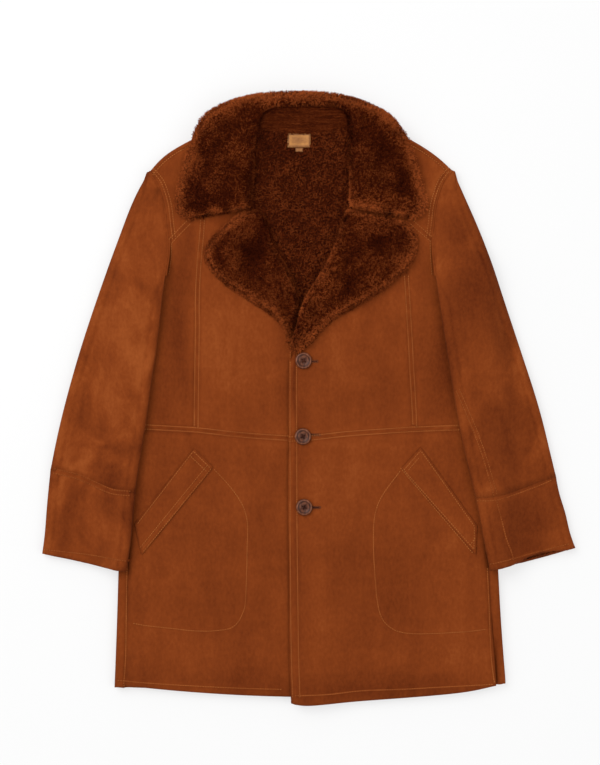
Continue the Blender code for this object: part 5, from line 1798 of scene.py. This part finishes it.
@dataclass
class Button:
    """A turned four-hole horn button, sewn through the left front."""

    name: str
    turn: float
    steps: int = 64
    hole: float = 1.15
    spread: float = 3.1
    horn: float = 0.46
    thread: float = 0.42
    thread_up: float = 3.75
    thread_over: float = 1.08
    thread_layer: float = 0.12
    profile: tuple[Pair, ...] = (
        (0.0, 3.15), (3.0, 3.2), (6.0, 3.3), (7.4, 3.7), (8.4, 4.35), (9.3, 4.75), (10.4, 4.8),
        (11.5, 4.5), (12.3, 3.8), (12.7, 2.9), (12.5, 1.9), (11.4, 0.9), (8.0, 0.2), (0.0, 0.2),
    )
    # rings of painted light and shade that follow the turned profile: a painted highlight on the
    # raised rim, painted shade on the slope inside it, in the dish and round the outer edge;
    # radius, width and how much lighter
    rings: tuple[Triple, ...] = (
        (11.0, 0.9, 0.42), (6.4, 1.6, 0.16), (9.0, 0.9, -0.26), (0.0, 3.6, -0.22),
        (13.0, 0.6, -0.4),
    )

    def build(self, finishes: Finishes) -> Object:
        """Turns the button on its solid's place, bores it and sews it on.

        Args:
            finishes: the coat's materials.

        Returns:
            The button.
        """
        low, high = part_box(self.name)
        centre = (low + high) / 2
        button = object_from(self.name + "_horn", *self.lathe(), [finishes.horn])
        button.location = (centre.x, centre.y, low.z)
        self.bore(button)
        points = read_array(button.data.vertices, "co", 3)
        out = np.linalg.norm(points[:, :2], axis=1) / MM
        # painted light and shade in rings over the horn
        rings = sum(light * bell(out, ring, width) for ring, width, light in self.rings)
        keep_values(button.data, "tone", self.horn + rings)
        thread = self.sew(finishes, low.z)
        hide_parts(self.name)
        belongs(Slot.HORN, button, thread)
        return button

    def lathe(self) -> tuple[Array, list[Array]]:
        """Turns the profile about its axis.

        Returns:
            Vertices and faces.
        """
        rows = [(radius, height) for radius, height in self.profile if radius > 0.0]
        angles = np.arange(self.steps) * math.tau / self.steps
        rings = [np.stack([radius * np.cos(angles), radius * np.sin(angles),
                           np.full(self.steps, height)], axis=1) for radius, height in rows]
        top, bottom = self.profile[0][1], self.profile[-1][1]
        vertices = np.vstack(rings + [[[0.0, 0.0, top]], [[0.0, 0.0, bottom]]]) * MM
        index = np.arange(self.steps)
        after = (index + 1) % self.steps
        quads = [np.stack([row * self.steps + index, (row + 1) * self.steps + index,
                           (row + 1) * self.steps + after, row * self.steps + after], axis=1)
                 for row in range(len(rows) - 1)]
        peak = len(rows) * self.steps
        last = (len(rows) - 1) * self.steps
        caps = [np.stack([index, after, np.full(self.steps, peak)], axis=1),
                np.stack([last + after, last + index, np.full(self.steps, peak + 1)], axis=1)]
        return vertices, [np.concatenate(quads), np.concatenate(caps)]

    def holes(self) -> list[Pair]:
        """The holes' places about the button's middle, in millimetres."""
        turns = [math.radians(quarter + self.turn) for quarter in (45, 135, 225, 315)]
        return [(self.spread * math.cos(turn), self.spread * math.sin(turn)) for turn in turns]

    def bore(self, button: Object) -> None:
        """Cuts the four holes.

        Args:
            button: the turned button.
        """
        for x, y in self.holes():
            cutter = bmesh.new()
            bmesh.ops.create_cone(cutter, cap_ends=True, segments=DRILL_SIDES,
                                  radius1=self.hole * MM, radius2=self.hole * MM,
                                  depth=DRILL * MM)
            mesh = bpy.data.meshes.new("drill")
            cutter.to_mesh(mesh)
            cutter.free()
            drill = link("drill", mesh)
            drill.location = button.location + Vector((x * MM, y * MM, 2.0 * MM))
            cut = button.modifiers.new("hole", "BOOLEAN")
            cut.operation = "DIFFERENCE"
            cut.object = drill
            bpy.context.view_layer.update()
            found = button.evaluated_get(bpy.context.evaluated_depsgraph_get())
            mesh = bpy.data.meshes.new_from_object(found)
            button.modifiers.remove(cut)
            button.data = mesh
            bpy.data.objects.remove(drill)
        button.data.shade_smooth()
        button.data.set_sharp_from_angle(angle=BUTTON_SHARP)

    def sew(self, finishes: Finishes, base: float) -> Object:
        """Sews thread through the holes, two passes each way.

        Args:
            finishes: the coat's materials.
            base: the height of the button's underside, in metres.

        Returns:
            The thread.
        """
        low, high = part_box(self.name)
        centre = np.array([*((low + high) / 2).xy, base + self.thread_up * MM])
        starts, ends = [], []
        spots = self.holes()
        for first, second in ((0, 2), (1, 3)):
            for aside in (-self.thread, self.thread):
                way = np.array(spots[second]) - np.array(spots[first])
                way /= np.linalg.norm(way)
                shift = np.array([-way[1], way[0]]) * aside
                for row, spot in ((starts, spots[first]), (ends, spots[second])):
                    at = (np.array(spot) * self.thread_over + shift) * MM
                    layer = self.thread_layer * MM * (first + aside)
                    row.append(centre + [at[0], at[1], layer])
        vertices, faces = spindles(np.array(starts), np.array(ends), self.thread * MM, 8, 0.2)
        return object_from(self.name + "_thread", vertices, faces, [finishes.button_thread])


@dataclass
class Buttonholes:
    """Corded buttonholes beside the buttons: a slit, shown as a dark cord of painted shade, and
    its close stitches.
    """

    slits: tuple[Triple, ...] = (
        (13.9, 22.0, 57.7), (13.9, 26.0, -55.8), (14.2, 26.0, -167.6),
    )
    pitch: float = 1.05
    reach: float = 2.5
    slit: float = 0.85
    purl: float = 0.4
    inner: float = 0.6
    inner_up: float = 0.35
    outer_up: float = 0.1
    slant: float = 0.15
    under_button: float = 4.0
    first_stitch: float = 2.0
    eye: Pair = (0.4, 2.2)
    eye_fan: tuple[float, ...] = (-60.0, -30.0, 0.0, 30.0, 60.0)

    def build(self, finishes: Finishes, ground: Ground) -> list[Object]:
        """Makes the slits and their stitches.

        Args:
            finishes: the coat's materials.
            ground: the left front.

        Returns:
            The slits and the stitches.
        """
        inner_lift = np.array([0.0, 0.0, self.inner_up * MM])
        outer_lift = np.array([0.0, 0.0, self.outer_up * MM])
        stitches, slits = [], []
        for left, right, y in self.slits:
            slits.append([ground.drop(x, y)[0] + outer_lift
                          for x in (left - self.under_button, right)])
            rows = [((x, y + sign * self.inner), (x + self.slant, y + sign * self.reach))
                    for x in np.arange(left - self.first_stitch, right + 0.6, self.pitch)
                    for sign in (-1.0, 1.0)]
            for angle in np.radians(self.eye_fan):
                along, aside = math.cos(angle), math.sin(angle)
                near, far = self.eye
                rows.append(((right + near * along, y + self.inner * aside),
                             (right + far * along, y + self.reach * aside)))
            stitches += [[ground.drop(*inner)[0] + inner_lift, ground.drop(*outer)[0] + outer_lift]
                         for inner, outer in rows]
        slit_ends, stitch_ends = np.array(slits), np.array(stitches)
        # the slit's shade is painted: a dark cord laid along it
        slit_mesh = spindles(slit_ends[:, 0], slit_ends[:, 1], self.slit * MM, 8, 0.0)
        purl_mesh = spindles(stitch_ends[:, 0], stitch_ends[:, 1], self.purl * MM)
        pieces = [object_from("buttonhole_slits", *slit_mesh, [finishes.button_thread]),
                  object_from("buttonhole_stitches", *purl_mesh, [finishes.purl])]
        belongs(Slot.SUEDE, *pieces)
        return pieces


@dataclass
class WovenTag:
    """A small woven tag, bare but for its woven border; its folded ends show only as edges dipped
    a little.
    """

    name: str
    node: str
    cut: Pair
    area: float
    border: float = 1.8
    cells: float = 0.45
    wall: float = 0.7
    curl: float = 0.35
    border_up: float = 0.12
    border_wide: float = 0.7
    edge_down: float = 0.3
    edge_wide: float = 0.6
    panel_in: float = 0.28
    panel_soft: float = 0.8
    seed: int = 3

    def build(self, finishes: Finishes) -> Object:
        """Weaves the tag on its solid's place.

        Args:
            finishes: the coat's materials.

        Returns:
            The tag.
        """
        low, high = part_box(self.node)
        columns = int((high.x - low.x) / (self.cells * MM)) + 1
        rows = int((high.y - low.y) / (self.cells * MM)) + 1
        x, y = np.meshgrid(np.linspace(low.x, high.x, columns), np.linspace(low.y, high.y, rows))
        tree = surface_tree([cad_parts[self.node].data])
        z = np.array([self.height(tree, a, b, high.z) for a, b in zip(x.ravel(), y.ravel())])
        flat = np.stack([x.ravel(), y.ravel(), z], axis=1)
        flat[:, 2] += Waves(self.curl, 0.009, self.seed).at(flat) * MM
        edge = np.minimum(np.minimum(flat[:, 0] - low.x, high.x - flat[:, 0]),
                          np.minimum(flat[:, 1] - low.y, high.y - flat[:, 1])) / MM
        line = bell(edge, self.border, self.border_wide)
        panel = soft_step((edge - self.panel_in * (high.y - low.y) / MM) / self.panel_soft)
        rim = bell(edge, 0.0, self.edge_wide)
        flat[:, 2] += (self.border_up * line - self.edge_down * rim) * MM
        under = flat - [0.0, 0.0, self.wall * MM]
        count = len(flat)
        index = np.arange(count).reshape(rows, columns)
        top = np.stack([index[:-1, :-1], index[:-1, 1:], index[1:, 1:], index[1:, :-1]],
                       axis=-1).reshape(-1, 4)
        ring = np.concatenate([index[0, :-1], index[:-1, -1], index[-1, :0:-1], index[:0:-1, 0]])
        after = np.roll(ring, -1)
        wall = np.stack([ring, ring + count, after + count, after], axis=1)
        tone = 0.56 - 0.6 * line - 0.3 * bell(edge, 0.0, self.border_wide) - 0.22 * panel
        tag = object_from(self.name, np.vstack([flat, under]),
                          [np.concatenate([top, top[:, ::-1] + count, wall])],
                          [finishes.woven], {"tone": np.tile(tone, 2)})
        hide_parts(self.node)
        belongs(Slot.WOVEN, tag)
        return tag

    @staticmethod
    def height(tree: BVHTree, x: float, y: float, top: float) -> float:
        """The solid's upper height at a place, just inside its edges."""
        spot = tree.ray_cast(Vector((x, y, top + SKY)), DOWN)[0]
        return top if spot is None else spot.z


@dataclass
class CuffWool:
    """Wool that shows in the mouth of the wearer's left cuff."""

    points: tuple[Pair, ...] = (
        (336, -255), (348, -252), (366, -247), (386, -242), (402, -238),
    )
    count: int = 900
    inward: Pair = (4.8, 9.0)
    heights: Pair = (8.0, 10.4)
    way: Triple = (0.12, -0.75, 0.65)
    tint: float = 0.3
    tint_spread: float = 0.2
    seed: int = 17

    def build(self, finishes: Finishes) -> Object:
        """Grows the wool between the cuff's two layers.

        Args:
            finishes: the coat's materials.

        Returns:
            The tufts.
        """
        rng = np.random.default_rng(SEED * 100 + self.seed)
        line = smooth_line(list(self.points), 1.0)
        picks = line[rng.integers(0, len(line), self.count)]
        x = (picks[:, 0] + LINE_X) * MM
        near, deep = self.inward
        y = (picks[:, 1] + deep - rng.random(self.count) * (deep - near)) * MM
        z = rng.uniform(*self.heights, self.count) * MM
        places = np.stack([x, y, z], axis=1)
        normals = np.tile(self.way, (self.count, 1))
        normals /= np.linalg.norm(normals, axis=1, keepdims=True)
        pile = Pile(self.count, 3.0, 0.9, 10.0, 70.0, 60, 4.0, 0.5)
        stray = self.tint_spread * rng.normal(size=self.count)
        tint = np.clip(self.tint + stray, 0.0, 1.0)
        vertices, faces, values = pile.grow(places, normals, tint, rng)
        tufts = object_from("cuff_left_mouth_wool", vertices, faces, [finishes.pile], values)
        belongs(Slot.WOOL, tufts)
        return tufts


# ------------------------------------------------------------------ sub-assemblies

def fronts(word: str, cut: Pair, area: float) -> tuple[SuedePanel, SuedePanel]:
    """Plans the two panels of the fronts that mirror each other.

    Args:
        word: the panels' place on the front.
        cut: their flat width and length, in metres.
        area: their flat area, in square metres.

    Returns:
        The right and the left panel.
    """
    right, left = (SuedePanel(f"front_{side}_{word}_shell", (f"front_{side}_{word}",), cut, area)
                   for side in SIDES)
    return right, left


def welt(side: str) -> SuedePanel:
    """Plans a pocket welt on a front skirt."""
    return SuedePanel(f"pocket_welt_{side}_shell", (f"pocket_welt_{side}",), (0.05, 0.15),
                      0.0064, rests_on=(f"front_{side}_skirt",), valley=0.0)


@dataclass
class CoatBody:
    """Back, fronts and pocket welts."""

    panels: tuple[SuedePanel, ...] = (
        BackPanel("back_yoke_shell", ("back_yoke",), (0.50, 0.16), 0.062, rests_on=()),
        BackPanel("back_body_shell", ("back_body",), (0.64, 0.78), 0.42, Held.FOLDED, ()),
        *fronts("yoke", (0.18, 0.18), 0.0160),
        *fronts("side", (0.12, 0.34), 0.0270),
        *fronts("centre", (0.20, 0.39), 0.0580),
        SuedePanel("front_right_skirt_shell", ("front_right_skirt",), (0.32, 0.42), 0.125),
        SuedePanel("front_left_skirt_shell", ("front_left_skirt",), (0.33, 0.43), 0.135),
        *map(welt, SIDES),
    )

    def build(self, finishes: Finishes) -> dict[str, Object]:
        """Makes every panel.

        Args:
            finishes: the coat's materials.

        Returns:
            The panels by name.
        """
        made = {}
        for panel in self.panels:
            made[panel.name] = panel.build(finishes)
            LOG.info("%s: %d faces", panel.name, len(made[panel.name].data.polygons))
        return made


@dataclass
class Sleeves:
    """Both sleeves and their cuff sections, each a flattened tube."""

    brushing: tuple[Pair, ...] = ((1.3, 1.3), (1.1, 1.0))
    gapes: Pair = (0.0, 9.0)
    valley: float = 0.9

    def panels(self) -> list[SuedePanel]:
        """Plans the sleeves, then the cuffs, each the right one first.

        Returns:
            The panels.
        """
        sleeves, cuffs = [], []
        for side, (sleeve, cuff), gape in zip(SIDES, self.brushing, self.gapes):
            sleeves.append(SleevePanel(
                f"sleeve_{side}_shell", (f"sleeve_{side}_top", f"sleeve_{side}_under"),
                (0.30, 0.50), 0.103, Held.FOLDED, brush=sleeve, valley=self.valley))
            cuffs.append(CuffPanel(
                f"cuff_{side}_shell", (f"cuff_{side}_top", f"cuff_{side}_under"),
                (0.28, 0.13), 0.033, Held.FOLDED, brush=cuff, valley=self.valley, gape=gape))
        return sleeves + cuffs

    def build(self, finishes: Finishes) -> dict[str, Object]:
        """Makes both sleeves.

        Args:
            finishes: the coat's materials.

        Returns:
            The panels by name.
        """
        made = {panel.name: panel.build(finishes) for panel in self.panels()}
        CuffWool().build(finishes)
        LOG.info("sleeves: %s", ", ".join(made))
        return made


def long_pile(count: int, tufts: int, contrast: float) -> Pile:
    """The wool of the collar and the lapels, as many fibres and tufts as asked for."""
    return Pile(count, 5.4, 0.85, 16.0, 66.0, tufts, 1.9, 0.34, contrast=contrast)


@dataclass
class CollarAndLapels:
    """Everything worn wool side out, and the curly lining between it."""

    pieces: tuple[WoolPiece, ...] = (
        WoolPiece("collar_skin", "collar", (0.62, 0.14), 0.075, long_pile(64000, 8500, 0.13),
                  ("front_right_yoke", "front_left_yoke"), hollows=COLLAR_HOLLOWS,
                  rim_light=0.66, rim_width=11.0, seed=1),
        WoolPiece("lapel_right_skin", "lapel_right", (0.16, 0.24), 0.019,
                  long_pile(30000, 3000, 0.12), ("front_right_centre",),
                  hollows=LAPEL_HOLLOWS, hub=(20.0, 230.0), rim_light=0.50, base=0.42, seed=2),
        WoolPiece("lapel_left_skin", "lapel_left", (0.20, 0.24), 0.0235,
                  long_pile(32000, 3200, 0.12), ("front_left_centre",),
                  hollows=LAPEL_HOLLOWS, hub=(-20.0, 230.0), rim_light=0.45, base=0.48, seed=3),
    )
    bands: tuple[WoolPiece, ...] = (
        WoolPiece("neck_band_skin", "neck_band", (0.14, 0.045), 0.0062,
                  Pile(9000, 8.0, 0.8, 55.0, 84.0, 300, 5.0, 0.1, comb=(2.6, 0.0),
                       contrast=0.06),
                  ("back_yoke",), inset=1.1, spread=3.5, lumps=0.3, nubs=0.0,
                  inner_painted_shade=0.0, inner_painted_light=0.0, facing=0.1, seed=4),
    )

    def build(self, finishes: Finishes, back: list[Object]) -> None:
        """Makes the collar, both lapels, the neck band and the lining.

        Args:
            finishes: the coat's materials.
            back: the back's panels.
        """
        for piece in self.pieces:
            piece.build(finishes, finishes.pile)
            LOG.info("%s: %d fibres", piece.name, piece.pile.count)
        for piece in self.bands:
            piece.build(finishes, finishes.band)
        CurlyLining().build(finishes, back)
        LOG.info("neck band and lining")


@dataclass
class Trimmings:
    """Stitching, buttons, buttonholes and tags."""

    buttons: tuple[Button, ...] = (
        Button("button_top", 8.0),
        Button("button_middle", -12.0),
        Button("button_lower", 20.0),
    )
    tags: tuple[WovenTag, ...] = (
        WovenTag("label_tape", "label", (0.0356, 0.0217), 0.00077),
        WovenTag("size_tab_tape", "size_tab", (0.012, 0.0105), 0.00009, 1.1, 0.6, seed=4),
    )

    def build(self, finishes: Finishes, panels: dict[str, Object]) -> None:
        """Sews and fastens everything on.

        Args:
            finishes: the coat's materials.
            panels: the suede panels by name.
        """
        rng = np.random.default_rng(SEED)
        needle = Stitching()
        front, back, welts, arms = (
            [piece for key, piece in panels.items() if key.startswith(words)]
            for words in ("front_", "back_", "pocket_welt_", ("sleeve_", "cuff_")))
        body = front + back
        ground = Ground(body)
        jobs = (("body", BODY_SEAMS, body), ("pocket", POCKET_SEAMS, body),
                ("welt", WELT_SEAMS, welts + body), ("sleeve", SLEEVE_SEAMS + JOINS, arms + body))
        for word, seams, under in jobs:
            band = SeamBands().build(f"{word}_seam_bands", seams, Ground(under), finishes.suede)
            thread = finishes.fine_thread if word == "sleeve" else finishes.thread
            needle.build(f"{word}_stitches", seams, Ground(under + [band]), thread, rng)
        for button in self.buttons:
            button.build(finishes)
            LOG.info("%s", button.name)
        Buttonholes().build(finishes, ground)
        for tag in self.tags:
            tag.build(finishes)
            LOG.info("%s", tag.name)


@dataclass
class Studio:
    """A pale floor, soft light from above and a camera straight over the coat."""

    view_height: float = 1.1810
    centre: Pair = (-0.0135, 0.0252)
    lens: float = 100.0
    sensor: float = 36.0
    coat_level: float = 0.02
    key_power: float = 62.0
    fill_power: float = 26.0
    room_light: float = 0.62
    floor_half: float = 14.0
    floor_drop: float = 0.0003

    def build(self) -> None:
        """Makes floor, lights, surroundings and camera."""
        self.floor()
        self.lamp("key_light", (-1.5, 1.3, 2.6), 2.2, self.key_power)
        self.lamp("fill_light", (1.7, -0.9, 2.8), 2.4, self.fill_power)
        self.surroundings(self.room_light)
        self.camera()
        bpy.context.scene.view_settings.view_transform = "Standard"
        LOG.info("studio")

    def floor(self) -> None:
        """Lays the floor just under the coat."""
        half = self.floor_half
        corners = np.array([[-half, -half, 0], [half, -half, 0], [half, half, 0],
                            [-half, half, 0]]) - [0, 0, self.floor_drop]
        floor = object_from("floor", corners, [np.array([[0, 1, 2, 3]])],
                            [FloorFinish().material()])

    def lamp(self, name: str, place: Triple, size: float, power: float) -> None:
        """Hangs a square soft light that looks at the coat.

        Args:
            name: the light's name.
            place: where it hangs, in metres.
            size: its side, in metres.
            power: its power, in watts.
        """
        data = bpy.data.lights.new(name, "AREA")
        data.shape = "SQUARE"
        data.size = size
        data.energy = power
        lamp = link(name, data)
        lamp.location = place
        way = Vector(self.centre + (0.0,)) - Vector(place)
        lamp.rotation_euler = way.to_track_quat("-Z", "Y").to_euler()

    def surroundings(self, strength: float) -> None:
        """Lights the room evenly.

        Args:
            strength: how bright the room is.
        """
        world = bpy.data.worlds.new("room")
        world.use_nodes = True
        back = world.node_tree.nodes["Background"]
        back.inputs["Color"].default_value = (1.0, 1.0, 1.0, 1.0)
        back.inputs["Strength"].default_value = strength
        bpy.context.scene.world = world

    def camera(self) -> None:
        """Puts the camera over the coat, looking straight down."""
        data = bpy.data.cameras.new("camera")
        data.lens = self.lens
        data.sensor_width = self.sensor
        data.clip_end = 50.0
        camera = link("camera", data)
        distance = self.view_height * self.lens / self.sensor
        camera.location = (*self.centre, self.coat_level + distance)
        bpy.context.scene.camera = camera


def main() -> None:
    """Dresses the coat."""
    logging.basicConfig(level=logging.INFO, format="%(message)s")
    Studio().build()
    finishes = Finishes.make()
    panels = CoatBody().build(finishes)
    panels.update(Sleeves().build(finishes))
    back = [panels["back_yoke_shell"], panels["back_body_shell"]]
    CollarAndLapels().build(finishes, back)
    Trimmings().build(finishes, panels)


if __name__ == "__main__":
    main()
